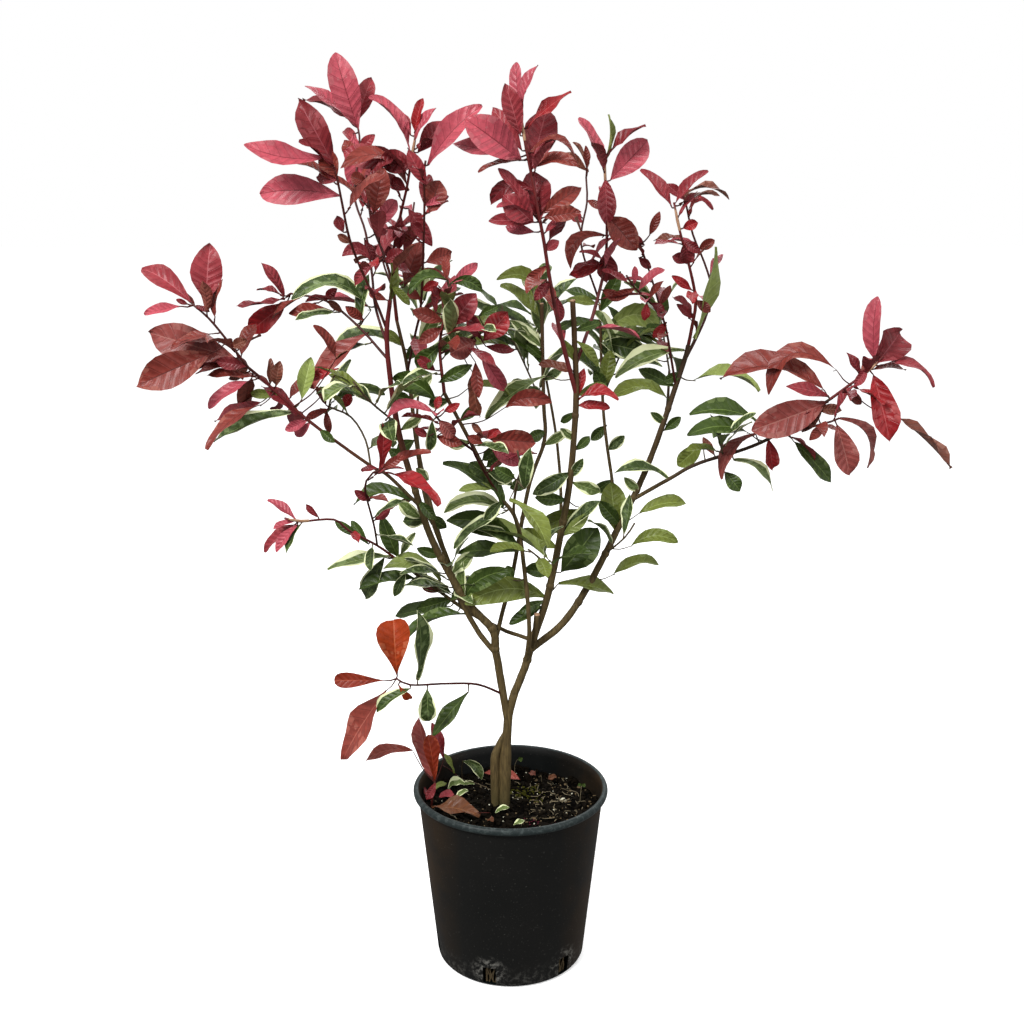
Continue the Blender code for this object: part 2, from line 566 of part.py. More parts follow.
def build_pot():
    """The turned wall with its rolled lip, its floor, and drain slots through the wall's foot."""
    lip_foot = POT_HEIGHT - LIP_HEIGHT
    pot = add_object("pot", turned([
        (0.0, 0.0), (BASE_RADIUS - 0.005, 0.0), (BASE_RADIUS - 0.0012, 0.0018), (BASE_RADIUS, 0.006),
        (WALL_TOP_RADIUS, lip_foot - 0.002), (RIM_RADIUS - 0.0015, lip_foot),
        (RIM_RADIUS, lip_foot + 0.003), (RIM_RADIUS - 0.0008, POT_HEIGHT - 0.002),
        (RIM_RADIUS - 0.003, POT_HEIGHT), (RIM_RADIUS - 0.0065, POT_HEIGHT - 0.001),
        (WALL_TOP_RADIUS - WALL, lip_foot - 0.002), (BASE_RADIUS - WALL, 0.008),
        (BASE_RADIUS - WALL - 0.003, FLOOR), (0.0, FLOOR)]))
    for i in range(SLOT_COUNT):
        bm = bmesh.new()
        bmesh.ops.create_cube(bm, size=1.0)
        bmesh.ops.scale(bm, vec=(SLOT_DEPTH, SLOT_WIDTH, SLOT_HEIGHT), verts=bm.verts)
        bmesh.ops.translate(bm, vec=(BASE_RADIUS + 0.0006, 0.0, SLOT_FOOT + SLOT_HEIGHT / 2), verts=bm.verts)
        cutter = add_object("slot_cutter_%d" % i, bm)
        cutter.rotation_euler.z = math.radians(SLOT_FIRST_AZIMUTH + 360.0 * i / SLOT_COUNT)
        cutter.hide_render = True
        cutter.display_type = "WIRE"
        cut = pot.modifiers.new("slot_%d" % i, "BOOLEAN")
        cut.operation = "DIFFERENCE"
        cut.object = cutter
        cut.solver = "EXACT"
    return pot


def build_soil():
    """Potting mix that fills the pot from its floor to the soil line, clear of the wall."""
    low = FLOOR + 0.0008
    slope = (WALL_TOP_RADIUS - BASE_RADIUS) / (POT_HEIGHT - LIP_HEIGHT - 0.008)
    return add_object("soil", turned([
        (0.0, low), (BASE_RADIUS - WALL - 0.0050, low), (BASE_RADIUS - WALL - 0.0012, 0.0105),
        (BASE_RADIUS - WALL - 0.0010 + slope * (SOIL_TOP - 0.006), SOIL_TOP), (0.0, SOIL_TOP)]))


def build_trunk():
    """Two stems pressed together at a flared foot, which run on as one to the first fork."""
    pieces = []
    for points, sizes in ((TRUNK_POINTS, TRUNK_RADII), (SECOND_STEM_POINTS, SECOND_STEM_RADII)):
        path, radii = mm_points(points), mm_sizes(sizes)
        bm = sweep(path, radii, radii, TRUNK_SIDES)
        geom = bm.verts[:] + bm.edges[:] + bm.faces[:]
        cut = bmesh.ops.bisect_plane(bm, geom=geom, plane_co=(0, 0, SOIL_TOP + GAP), plane_no=(0, 0, 1),
                                     clear_inner=True)["geom_cut"]
        bmesh.ops.holes_fill(bm, edges=[e for e in cut if isinstance(e, bmesh.types.BMEdge)])
        pieces.append(add_object("trunk_stem", bm))
    return pieces


def main():
    for obj in list(bpy.data.objects):
        bpy.data.objects.remove(obj)
    built["pot"] = build_pot()
    built["soil"] = build_soil()
    paths["trunk"] = (mm_points(TRUNK_POINTS), mm_sizes(TRUNK_RADII))
    paths["soil"] = (mm_points(LOW_SHOOT_FOOT), mm_sizes(LOW_SHOOT_RADII))

    limbs = {"trunk": build_trunk()}
    for name, (parent, height, points, foot, tip) in BOUGHS.items():
        limbs[name] = [start_limb(name, parent, height, mm_points(points), foot * MM, tip * MM, BOUGH_SIDES)]
    stub_radii = mm_sizes(STUB_RADII)
    limbs["right_leader"].append(add_object("cut_stub", sweep(mm_points(STUB_POINTS), stub_radii,
                                                              stub_radii, BOUGH_SIDES)))

    stems = {}
    for name, (parent, shoots) in FOLIAGE.items():
        stems[name] = []
        for number, (height, points, *_) in enumerate(shoots):
            key = "%s_%d" % (name, number)
            if number == 0:
                foot, tip = mm_sizes(SHOOT_RADII)
                stems[name].append(start_limb(key, parent, height, mm_points(points), foot, tip, TWIG_SIDES))
            else:
                root = at_height(*paths[name + "_0"], height * MM)[0]
                path = smooth_path([root, *mm_points(points)], RING_STEP)
                radii = tapered(path, *mm_sizes(SIDE_SHOOT_RADII))
                paths[key] = (path, radii)
                stems[name].append(add_object(key, sweep(path, radii, radii, TWIG_SIDES)))

    for name, pieces in limbs.items():
        built[name] = join(name, pieces + joins.get(name, []))

    hard = [tree_of(obj) for obj in built.values()]
    waiting = {name: [tree_of(piece) for piece in pieces] for name, pieces in stems.items()}
    done = []
    for order, (name, (parent, shoots)) in enumerate(FOLIAGE.items()):
        waiting.pop(name)
        blocked = hard + done + [tree for trees in waiting.values() for tree in trees]
        own = [paths["%s_%d" % (name, number)][0] for number in range(len(shoots))]
        space = ([min(p[k] for path in own for p in path) - SPACE_ROOM for k in range(3)],
                 [max(p[k] for path in own for p in path) + SPACE_ROOM for k in range(3)])
        blades = []
        pieces = list(stems[name])
        for number, (path, (_, _, count, longest, shortest, rows)) in enumerate(zip(own, shoots)):
            wanted = outline_leaves(path, rows) + spiral_leaves(path, count, longest, shortest,
                                                                17 * order + number)
            pieces += grow_leaves(name, wanted, blocked, space, blades)
        built[name] = join(name, pieces)
        done.append(tree_of(built[name]))

    for name, obj in built.items():
        if name == "pot":
            mat = material("pot_plastic", (0.018, 0.019, 0.019), 0.55)
        elif name == "soil":
            mat = material("potting_mix", (0.030, 0.020, 0.014), 0.95)
        elif name.endswith("foliage"):
            mat = material(name + "_leaves", GREEN_LEAF if name in GREEN_MASSES else RED_LEAF, 0.45)
        else:
            mat = material(name + "_bark", (0.12, 0.085, 0.05), 0.8)
        obj.data.materials.clear()
        obj.data.materials.append(mat)
        if not name.endswith("foliage"):
            obj.data.shade_smooth()
            obj.data.set_sharp_from_angle(angle=math.radians(40))


main()
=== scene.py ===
import math
import random

import bmesh
import bpy
import numpy as np
from mathutils import Matrix, Vector, noise


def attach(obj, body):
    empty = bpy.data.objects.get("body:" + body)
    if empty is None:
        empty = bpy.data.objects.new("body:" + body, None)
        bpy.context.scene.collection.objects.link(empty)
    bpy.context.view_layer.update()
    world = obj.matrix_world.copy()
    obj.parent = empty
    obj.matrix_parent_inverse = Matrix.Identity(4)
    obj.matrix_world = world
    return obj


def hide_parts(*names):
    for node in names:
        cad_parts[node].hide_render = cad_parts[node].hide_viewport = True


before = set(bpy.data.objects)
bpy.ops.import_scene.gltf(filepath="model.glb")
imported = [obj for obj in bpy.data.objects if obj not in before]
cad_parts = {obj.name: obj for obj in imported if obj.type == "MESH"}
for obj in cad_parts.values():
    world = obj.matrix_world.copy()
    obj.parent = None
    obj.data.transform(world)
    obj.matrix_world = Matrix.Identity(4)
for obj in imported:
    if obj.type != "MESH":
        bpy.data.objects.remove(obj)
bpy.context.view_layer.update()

# The studio: a pale floor that runs back to the horizon, a bright even sky and one large soft
# lamp from the upper left. The camera stands 1.55 m in front and looks down by 13.7 degrees.
CAMERA_DISTANCE = 1.553
CAMERA_HEIGHT = 0.9954
CAMERA_PITCH = math.radians(13.66)
FOCAL_PIXELS = 1258.0
IMAGE_WIDTH = 1024.0
SENSOR = 36.0
MM = 0.001

camera_data = bpy.data.cameras.new("camera")
camera_data.sensor_width = SENSOR
camera_data.lens = SENSOR * FOCAL_PIXELS / IMAGE_WIDTH
camera = bpy.data.objects.new("camera", camera_data)
camera.location = (0.0019, -CAMERA_DISTANCE, CAMERA_HEIGHT)
camera.rotation_euler = (math.pi / 2 - CAMERA_PITCH, 0.0, 0.0)
bpy.context.scene.collection.objects.link(camera)
bpy.context.scene.camera = camera


def soft_lamp(name, place, size, power, aim=(0.0, 0.0, 0.6)):
    """A square area lamp that points at the plant."""
    data = bpy.data.lights.new(name, "AREA")
    data.size = size
    data.energy = power
    lamp = bpy.data.objects.new(name, data)
    lamp.location = place
    way = Vector(aim) - Vector(place)
    lamp.rotation_euler = way.to_track_quat("-Z", "Y").to_euler()
    bpy.context.scene.collection.objects.link(lamp)


soft_lamp("key_lamp", (-1.7, -2.2, 3.0), 1.2, 140.0)
soft_lamp("fill_lamp", (2.4, -1.8, 1.6), 2.2, 26.0)
soft_lamp("back_lamp", (0.6, 2.2, 2.6), 1.8, 34.0)

bpy.context.scene.view_settings.view_transform = "Standard"
world = bpy.data.worlds.new("sky")
bpy.context.scene.world = world
world.use_nodes = True
sky = world.node_tree
background = sky.nodes["Background"]
direction = sky.nodes.new("ShaderNodeTexCoord")
rise = sky.nodes.new("ShaderNodeSeparateXYZ")
sky.links.new(direction.outputs["Generated"], rise.inputs[0])
glow = sky.nodes.new("ShaderNodeMapRange")
glow.inputs["From Min"].default_value = -0.4
glow.inputs["From Max"].default_value = 1.0
glow.inputs["To Min"].default_value = 0.24
glow.inputs["To Max"].default_value = 0.90
sky.links.new(rise.outputs["Z"], glow.inputs["Value"])
seen = sky.nodes.new("ShaderNodeLightPath")
level = sky.nodes.new("ShaderNodeMix")
sky.links.new(seen.outputs["Is Camera Ray"], level.inputs[0])
sky.links.new(glow.outputs[0], level.inputs[2])
level.inputs[3].default_value = 1.0
sky.links.new(level.outputs[0], background.inputs["Strength"])
background.inputs["Color"].default_value = (1.0, 1.0, 1.0, 1.0)


class Wire:
    """An output in a material. Arithmetic on it adds the Math nodes that work it out."""

    def __init__(self, finish, socket):
        self.finish, self.socket = finish, socket

    def work(self, operation, *values):
        node = self.finish.node("ShaderNodeMath", {"operation": operation}, *values)
        return node

    def __add__(self, other):
        return self.work("ADD", self, other)

    def __radd__(self, other):
        return self.work("ADD", other, self)

    def __sub__(self, other):
        return self.work("SUBTRACT", self, other)

    def __rsub__(self, other):
        return self.work("SUBTRACT", other, self)

    def __mul__(self, other):
        return self.work("MULTIPLY", self, other)

    def __rmul__(self, other):
        return self.work("MULTIPLY", other, self)

    def above(self, edge):
        return self.work("GREATER_THAN", self, edge)

    def clamp(self):
        return self.work("MINIMUM", self.work("MAXIMUM", self, 0.0), 1.0)


class Finish:
    """A material with one Principled shader, whose other nodes come from node()."""

    def __init__(self, name, colour, roughness, **fixed):
        self.material = bpy.data.materials.new(name)
        self.material.use_nodes = True
        self.tree = self.material.node_tree
        self.shader = self.tree.nodes["Principled BSDF"]
        self.put("Base Color", colour)
        self.put("Roughness", roughness)
        for socket, value in fixed.items():
            self.put(socket.replace("_", " ").title().replace("Ior", "IOR"), value)

    def put(self, socket, value):
        self.join(self.shader.inputs[socket], value)

    def join(self, socket, value):
        if isinstance(value, Wire):
            self.tree.links.new(value.socket, socket)
        elif isinstance(value, tuple) and len(value) == 3 and socket.type == "RGBA":
            socket.default_value = (*value, 1.0)
        else:
            socket.default_value = value

    def node(self, kind, settings, *values, out=0, **named):
        """Add a node: its settings first, then its sockets by number and by name."""
        made = self.tree.nodes.new(kind)
        for key, value in settings.items():
            if key == "stops":
                ramp = made.color_ramp
                ramp.elements[0].position, ramp.elements[1].position = value[0][0], value[-1][0]
                for place, colour in value[1:-1]:
                    ramp.elements.new(place)
                for element, (place, colour) in zip(ramp.elements, value):
                    element.color = (*colour, 1.0)
            else:
                setattr(made, key, value)
        for number, value in enumerate(values):
            self.join(made.inputs[number], value)
        for key, value in named.items():
            self.join(made.inputs[key], value)
        return Wire(self, made.outputs[out])

    def place(self):
        return self.node("ShaderNodeTexCoord", {}, out="Object")

    def noise(self, scale, detail=3.0, rough=0.5, place=None):
        return self.node("ShaderNodeTexNoise", {}, Vector=place or self.place(), Scale=scale,
                         Detail=detail, Roughness=rough)

    def blend(self, share, first, second):
        mix = self.tree.nodes.new("ShaderNodeMix")
        mix.data_type = "RGBA"
        self.join(mix.inputs[0], share)
        self.join(mix.inputs[6], first)
        self.join(mix.inputs[7], second)
        return Wire(self, mix.outputs[2])

    def bump(self, height, distance, strength=1.0):
        self.put("Normal", self.node("ShaderNodeBump", {}, Height=height, Distance=distance,
                                     Strength=strength))


floor_finish = Finish("pale_floor", (0.90, 0.90, 0.90), 0.95)
floor_finish.put("Emission Color", (1.0, 1.0, 1.0))
floor_finish.put("Emission Strength", 0.42)
bm = bmesh.new()
bmesh.ops.create_grid(bm, x_segments=2, y_segments=2, size=30.0)
floor_mesh = bpy.data.meshes.new("floor")
bm.to_mesh(floor_mesh)
bm.free()
floor = bpy.data.objects.new("floor", floor_mesh)
floor.data.materials.append(floor_finish.material)
floor.visible_diffuse = False
floor.visible_glossy = False
bpy.context.scene.collection.objects.link(floor)


def piece_from(bm, name, finish, slot, *nodes, smooth=True, others=()):
    """Turn a bmesh into a finished piece that rides on the plant's only body."""
    mesh = bpy.data.meshes.new(name)
    bm.to_mesh(mesh)
    bm.free()
    obj = bpy.data.objects.new(name, mesh)
    bpy.context.scene.collection.objects.link(obj)
    for each in (finish, *others):
        mesh.materials.append(each.material)
    if smooth:
        mesh.shade_smooth()
    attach(obj, "root")
    if nodes:
        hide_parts(*nodes)
    return obj


# The pot: one blow-moulded black plastic shell with a rolled lip, a rounded foot and six drain
# slots cut through the foot of its wall. The lip is painted grey as a painted highlight, with specks
# of wear, and the foot is scuffed by the slots.
POT_HEIGHT = 0.243
RIM_RADIUS = 0.130
BASE_RADIUS = 0.100
WALL_TOP_RADIUS = 0.1235
WALL = 0.0022
LIP_HEIGHT = 0.010
POT_STEPS = 144
SLOT_COUNT = 6
SLOT_FIRST_AZIMUTH = math.radians(-106.0)
SLOT_WIDTH = 0.018
SLOT_HEIGHT = 0.025
SLOT_FOOT = 0.0042

pot_finish = Finish("black_pot_plastic", (0.02, 0.02, 0.02), 0.5, specular_ior_level=0.16)
where = pot_finish.place()
height = pot_finish.node("ShaderNodeSeparateXYZ", {}, where, out="Z")
radius = pot_finish.node("ShaderNodeVectorMath", {"operation": "LENGTH"}, pot_finish.node(
    "ShaderNodeVectorMath", {"operation": "MULTIPLY"}, where, (1.0, 1.0, 0.0)), out="Value")
flank = pot_finish.node("ShaderNodeMath", {"operation": "ABSOLUTE"},
                        pot_finish.node("ShaderNodeSeparateXYZ", {}, where, out="X"))
smudge = pot_finish.noise(9.0, 4.0, 0.6)
speck = pot_finish.noise(420.0, 2.0, 0.5)
scratch = pot_finish.noise(150.0, 4.0, 0.75)
streaks = pot_finish.noise(1.0, 3.0, 0.6, pot_finish.node(
    "ShaderNodeVectorMath", {"operation": "MULTIPLY"}, where, (45.0, 45.0, 620.0)))
tone = pot_finish.blend(smudge, (0.0034, 0.0040, 0.0038), (0.0092, 0.0086, 0.0076))
# Brownish patches towards the left and right flanks of the wall, away from its front-facing middle.
flank_brown = ((flank - 0.062) * 16.0).clamp() * ((smudge - 0.34) * 4.0).clamp() * (speck * 0.5 + 0.5)
tone = pot_finish.blend(flank_brown * 0.95, tone, (0.044, 0.022, 0.006))
# The inner wall is painted near-black teal: painted shade inside the pot's hollow. The marks are kept off it.
slope = (WALL_TOP_RADIUS - BASE_RADIUS) / POT_HEIGHT
shaded_inner_wall = ((BASE_RADIUS + slope * height - radius) * 900.0 - 0.6).clamp()
tone = pot_finish.blend(shaded_inner_wall, tone, (0.0004, 0.0022, 0.0026))
# The rolled lip is painted grey-blue: a painted highlight along it, with lighter specks of wear.
lip = ((height - (POT_HEIGHT - 0.0095)) * 700.0).clamp() * radius.above(WALL_TOP_RADIUS - 0.0002)
lip_sheen_and_wear = pot_finish.blend(((scratch - 0.50) * 5.0).clamp(), (0.017, 0.024, 0.024), (0.060, 0.074, 0.072))
tone = pot_finish.blend(lip, tone, lip_sheen_and_wear)
scuff = (0.036 - height) * 14.0
for number in (0, 1):
    azimuth = SLOT_FIRST_AZIMUTH + math.tau * number / SLOT_COUNT
    spot = (BASE_RADIUS * math.cos(azimuth), BASE_RADIUS * math.sin(azimuth), 0.026)
    away = pot_finish.node("ShaderNodeVectorMath", {"operation": "DISTANCE"}, where, spot, out="Value")
    scuff = scuff + ((0.026 - away) * 70.0).clamp()
marks = ((scratch - 0.48) * 6.0).clamp() * scuff.clamp() * 0.5 + ((speck - 0.66) * 5.0).clamp() * 0.25
marks = marks + ((streaks - 0.66) * 9.0).clamp() * ((smudge - 0.5) * 6.0).clamp() * 0.22
pot_finish.put("Base Color", pot_finish.blend(marks.clamp() * (1.0 - shaded_inner_wall), tone, (0.30, 0.29, 0.26)))
pot_finish.put("Roughness", 0.44 + smudge * 0.2 - lip * 0.12)
pot_finish.bump(speck, 0.0002, 0.3)

outline = [(0.0, 0.0), (BASE_RADIUS - 0.0075, 0.0)]
for step in range(1, 7):
    turn = math.pi / 2 * step / 6
    outline.append((BASE_RADIUS - 0.0075 + 0.0075 * math.sin(turn), 0.0075 - 0.0075 * math.cos(turn)))
lip_foot = POT_HEIGHT - LIP_HEIGHT
outline += [(WALL_TOP_RADIUS - 0.0004, lip_foot - 0.004), (WALL_TOP_RADIUS, lip_foot - 0.001)]
for step in range(0, 15):
    turn = math.radians(-75 + 15 * step)
    outline.append((RIM_RADIUS - 0.0042 + 0.0042 * math.cos(turn),
                    POT_HEIGHT - LIP_HEIGHT / 2 + LIP_HEIGHT / 2 * math.sin(turn)))
outline += [(WALL_TOP_RADIUS - WALL, lip_foot - 0.002), (BASE_RADIUS - WALL, 0.009),
            (BASE_RADIUS - WALL - 0.004, 0.003), (0.0, 0.003)]
bm = bmesh.new()
verts = [bm.verts.new((r, 0.0, z)) for r, z in outline]
edges = [bm.edges.new(pair) for pair in zip(verts, verts[1:])]
bmesh.ops.spin(bm, geom=verts + edges, cent=(0, 0, 0), axis=(0, 0, 1), angle=2 * math.pi,
               steps=POT_STEPS, use_merge=True)
bmesh.ops.remove_doubles(bm, verts=bm.verts, dist=1e-6)
bmesh.ops.recalc_face_normals(bm, faces=bm.faces)
pot = piece_from(bm, "nursery_pot", pot_finish, "pot", "pot")
pot.data.set_sharp_from_angle(angle=math.radians(50))
for number in range(SLOT_COUNT):
    bm = bmesh.new()
    bmesh.ops.create_cube(bm, size=1.0)
    bmesh.ops.scale(bm, vec=(0.014, SLOT_WIDTH, SLOT_HEIGHT), verts=bm.verts)
    bmesh.ops.translate(bm, vec=(BASE_RADIUS + 0.001, 0.0, SLOT_FOOT + SLOT_HEIGHT / 2), verts=bm.verts)
    bmesh.ops.rotate(bm, cent=(0, 0, 0), verts=bm.verts, matrix=Matrix.Rotation(
        SLOT_FIRST_AZIMUTH + math.tau * number / SLOT_COUNT, 3, "Z"))
    mesh = bpy.data.meshes.new("slot")
    bm.to_mesh(mesh)
    bm.free()
    cutter = bpy.data.objects.new("slot", mesh)
    bpy.context.scene.collection.objects.link(cutter)
    cut = pot.modifiers.new("slot", "BOOLEAN")
    cut.operation = "DIFFERENCE"
    cut.object = cutter
    cut.solver = "EXACT"
    graph = bpy.context.evaluated_depsgraph_get()
    graph.update()
    carved = bpy.data.meshes.new_from_object(pot.evaluated_get(graph))
    pot.modifiers.clear()
    pot.data = carved
    bpy.data.objects.remove(cutter)


# The potting mix: near-black bark compost that has sunk 3 cm below the rim, with crumbs of bark,
# grit and perlite strewn over it, a clod, and a cushion of moss to the right of the stems.
SOIL_TOP = 0.2135
SOIL_RADIUS = 0.1185
CRUMBS = 2600
MOSS_PLACE = (0.019, 0.036)
BIG_GRAINS = [(71, 22, 4.6), (75, 15, 3.0), (38, 33, 2.0), (43, 13, 2.0), (16, 13, 1.6), (3, 12, 1.6),
              (7, -43, 1.7), (16, 24, 1.5), (-17, -3, 1.3), (60, 67, 2.4), (84, 33, 2.2), (30, 56, 1.4)]

soil_finish = Finish("bark_compost", (0.02, 0.014, 0.01), 0.95, specular_ior_level=0.04)
grain = soil_finish.noise(260.0, 5.0, 0.7)
soil_finish.put("Base Color", soil_finish.node("ShaderNodeValToRGB", {"stops": [
    (0.30, (0.0003, 0.0002, 0.0002)), (0.58, (0.002, 0.0015, 0.001)), (0.82, (0.013, 0.009, 0.005))]}, grain))
soil_finish.bump(grain, 0.002, 0.9)


def soil_height(x, y):
    """The uneven surface, heaped a little round the stems."""
    heap = 0.003 * math.exp(-((x + 0.01) ** 2 + y ** 2) / 0.0012)
    return SOIL_TOP + heap - 0.0035 + 0.0065 * noise.fractal(Vector((x, y, 0.3)) * 42.0, 1.0, 2.0, 4)


bm = bmesh.new()
rings, around = 34, 120
bmesh.ops.create_circle(bm, cap_ends=False, segments=around, radius=SOIL_RADIUS * 0.02)
edge = bm.edges[:]
for step in range(rings):
    out = bmesh.ops.extrude_edge_only(bm, edges=edge)["geom"]
    moved = [v for v in out if isinstance(v, bmesh.types.BMVert)]
    edge = [e for e in out if isinstance(e, bmesh.types.BMEdge)]
    grow = SOIL_RADIUS * (0.02 + 0.98 * (step + 1) / rings)
    for vert in moved:
        flat = Vector((vert.co.x, vert.co.y, 0.0)).normalized() * grow
        vert.co = flat
bmesh.ops.contextual_create(bm, geom=[e for e in bm.edges if e.is_boundary and
                                      e.verts[0].co.length < SOIL_RADIUS * 0.03])
for vert in bm.verts:
    vert.co.z = soil_height(vert.co.x, vert.co.y)
skirt = bmesh.ops.extrude_edge_only(bm, edges=[e for e in bm.edges if e.is_boundary])["geom"]
for vert in (v for v in skirt if isinstance(v, bmesh.types.BMVert)):
    vert.co.x *= 0.985
    vert.co.y *= 0.985
    vert.co.z = SOIL_TOP - 0.012
bmesh.ops.holes_fill(bm, edges=[e for e in bm.edges if e.is_boundary])
bmesh.ops.recalc_face_normals(bm, faces=bm.faces)
piece_from(bm, "potting_mix", soil_finish, "soil", "soil")

crumb_finishes = []
for kind, low, high in (("bark_crumbs", (0.0004, 0.0003, 0.0002), (0.009, 0.006, 0.003)),
                        ("pale_grit", (0.34, 0.32, 0.22), (0.70, 0.69, 0.56)),
                        ("tan_crumbs", (0.050, 0.032, 0.015), (0.170, 0.125, 0.070)),
                        ("moss", (0.022, 0.024, 0.002), (0.090, 0.085, 0.012)),
                        ("wine_crumbs", (0.030, 0.004, 0.008), (0.110, 0.014, 0.030))):
    finish = Finish(kind, low, 0.9, specular_ior_level=0.06)
    finish.put("Base Color", finish.blend(finish.noise(200.0, 3.0), low, high))
    crumb_finishes.append(finish)
dice = random.Random(11)
bm = bmesh.new()


def crumb(x, y, size, slot, flat=0.8):
    """One lump of a random shape, seated on the mix."""
    made = bmesh.ops.create_icosphere(bm, subdivisions=1, radius=size)["verts"]
    squash = Vector((dice.uniform(0.6, 1.6), dice.uniform(0.5, 1.1), dice.uniform(0.4, flat)))
    spin = Matrix.Rotation(dice.uniform(0, math.tau), 3, "Z")
    spin = spin @ Matrix.Rotation(dice.uniform(-0.7, 0.7), 3, "X")
    for vert in made:
        vert.co = spin @ (vert.co * squash * dice.uniform(0.85, 1.15)) + Vector(
            (x, y, soil_height(x, y) + size * 0.25))
    for face in {f for v in made for f in v.link_faces}:
        face.material_index = slot


for number in range(CRUMBS):
    reach, turn = SOIL_RADIUS * 0.985 * math.sqrt(dice.random()), dice.uniform(0, math.tau)
    x, y = reach * math.cos(turn), reach * math.sin(turn)
    if math.dist((x, y), MOSS_PLACE) < dice.uniform(0.012, 0.034):
        crumb(x, y, dice.uniform(0.0012, 0.0026), 3)
    elif number % 14 == 0:
        crumb(x, y, dice.uniform(0.0006, 0.0016), 1)
    elif number % 14 < (4 if x > 0.02 else 2):
        crumb(x, y, dice.uniform(0.0008, 0.0024), 2)
    else:
        crumb(x, y, dice.uniform(0.0010, 0.0046), 0)
for x, y, size in BIG_GRAINS:
    crumb(x * MM, y * MM, size * MM, 1)
crumb(0.025, 0.080, 0.011, 0, 1.2)
for _ in range(26):
    crumb(0.036 + dice.gauss(0, 0.009), -0.047 + dice.gauss(0, 0.005), dice.uniform(0.0008, 0.0022), 4)
piece_from(bm, "bark_and_grit", crumb_finishes[0], "soil", smooth=False, others=crumb_finishes[1:])


# The stems: a foot of two stems pressed together, which forks low into a left and a right
# leader, and boughs of olive-brown young wood that taper from 11 mm to 4 mm, with leaf scars.
RING_STEP = 0.007
LIMB_SIDES = 14
FOOT_POINTS = [(-8, -5, 205), (-8, -5, 236), (-7.5, -4, 264), (-6.6, -3, 293), (-4.5, -2, 318),
               (-2.5, -1, 342), (5, 1, 372)]
FOOT_RADII = [7.4, 7.6, 8.6, 7.6, 5.8, 5.6, 5.5]
SECOND_FOOT_POINTS = [(-20, -5, 205), (-20.3, -5, 229), (-20.5, -5, 251), (-20.6, -4, 272),
                      (-19.6, -4, 288), (-14.0, -3, 303), (-6, -1, 320)]
SECOND_FOOT_RADII = [5.8, 6.0, 6.2, 6.6, 6.3, 4.6, 2.6]
STUB_POINTS = [(28, 1, 437), (31, -9, 452), (34, -15, 487)]
STUB_RADII = [3.6, 3.8, 3.6]
KNUCKLES = {"right_leader": (424, 441), "left_leader": (440, 470), "centre_bough": (524, 612, 748),
            "left_bough": (520, 566, 660), "right_bough": (497, 560, 640, 745), "back_bough": (600, 690),
            "left_back_bough": (540, 660, 790), "middle_left_bough": (600, 690)}
LOW_SHOOT_FOOT = [(-106, -8, 205), (-106, -8, 213.5)]

BOUGHS = {
    "right_leader": ("trunk", 0, [(14, 2, 395), (20, 2, 412), (27, 3, 438), (33, 2, 458)], 5.4, 5.2),
    "left_leader": ("trunk", 336, [(-12, -2, 385), (-17, -3, 419), (-20, -4, 436), (-20, -6, 452),
                                   (-24, -8, 465), (-34, -10, 477)], 5.0, 5.3),
    "left_bough": ("left_leader", 0, [(-54, -15, 501), (-76, -20, 540), (-98, -28, 588),
                                      (-114, -40, 643), (-135, -60, 735), (-144, -80, 838),
                                      (-139, -84, 890)], 5.2, 2.6),
    "left_back_bough": ("left_leader", 432, [(-36, 0, 449), (-46, 2, 464), (-60, 4, 491),
                                             (-77, 10, 540), (-107, 16, 625), (-120, 20, 710),
                                             (-129, 24, 796), (-142, 30, 857)], 3.6, 2.2),
    "low_left_bough": ("right_leader", 445, [(10, 20, 446), (-3, 27, 448), (-14, 31, 452),
                                             (-56, 42, 471), (-108, 32, 514), (-150, 16, 553)], 2.8, 2.0),
    "middle_left_bough": ("right_leader", 414, [(24, -22, 470), (18, -20, 544), (7, -30, 615),
                                                (-18, -42, 655), (-51, -60, 725), (-78, -80, 782)], 3.0, 2.3),
    "back_bough": ("left_leader", 446, [(-10, 16, 482), (2, 36, 522), (24, 80, 632), (45, 100, 692),
                                        (44, 110, 744), (41, 124, 871)], 2.9, 2.4),
    "centre_bough": ("right_leader", 0, [(47, 0, 503), (61, -10, 577), (74, -20, 663), (80, -30, 765),
                                         (77, -35, 839), (74, -40, 887)], 4.9, 3.2),
    "right_bough": ("right_leader", 436, [(69, 10, 467), (104, 20, 519), (140, 30, 590), (179, 45, 673),
                                          (221, 60, 797), (228, 65, 822)], 5.0, 3.2),
    "long_right_bough": ("right_bough", 627, [(205, 30, 655), (240, 20, 677), (317, 0, 709),
                                              (390, -30, 767)], 2.6, 1.8),
    "right_back_bough": ("right_bough", 590, [(138, 70, 615), (136, 100, 640), (126, 140, 726),
                                              (121, 172, 866)], 2.4, 1.9),
    "long_left_bough": ("left_bough", 640, [(-150, -62, 680), (-168, -70, 692), (-238, -90, 751),
                                            (-290, -100, 803)], 2.3, 1.7),
    "back_left_bough": ("left_back_bough", 560, [(-105, 60, 615), (-125, 115, 690), (-125, 160, 775)],
                        2.2, 1.6),
    "back_centre_bough": ("centre_bough", 560, [(66, 50, 615), (62, 120, 690), (48, 190, 770)], 2.3, 1.7),
    "back_right_bough": ("right_bough", 690, [(205, 90, 730), (214, 140, 780)], 2.2, 1.7),
    "front_bough": ("middle_left_bough", 596, [(4, -85, 640), (8, -140, 690)], 2.0, 1.5),
}



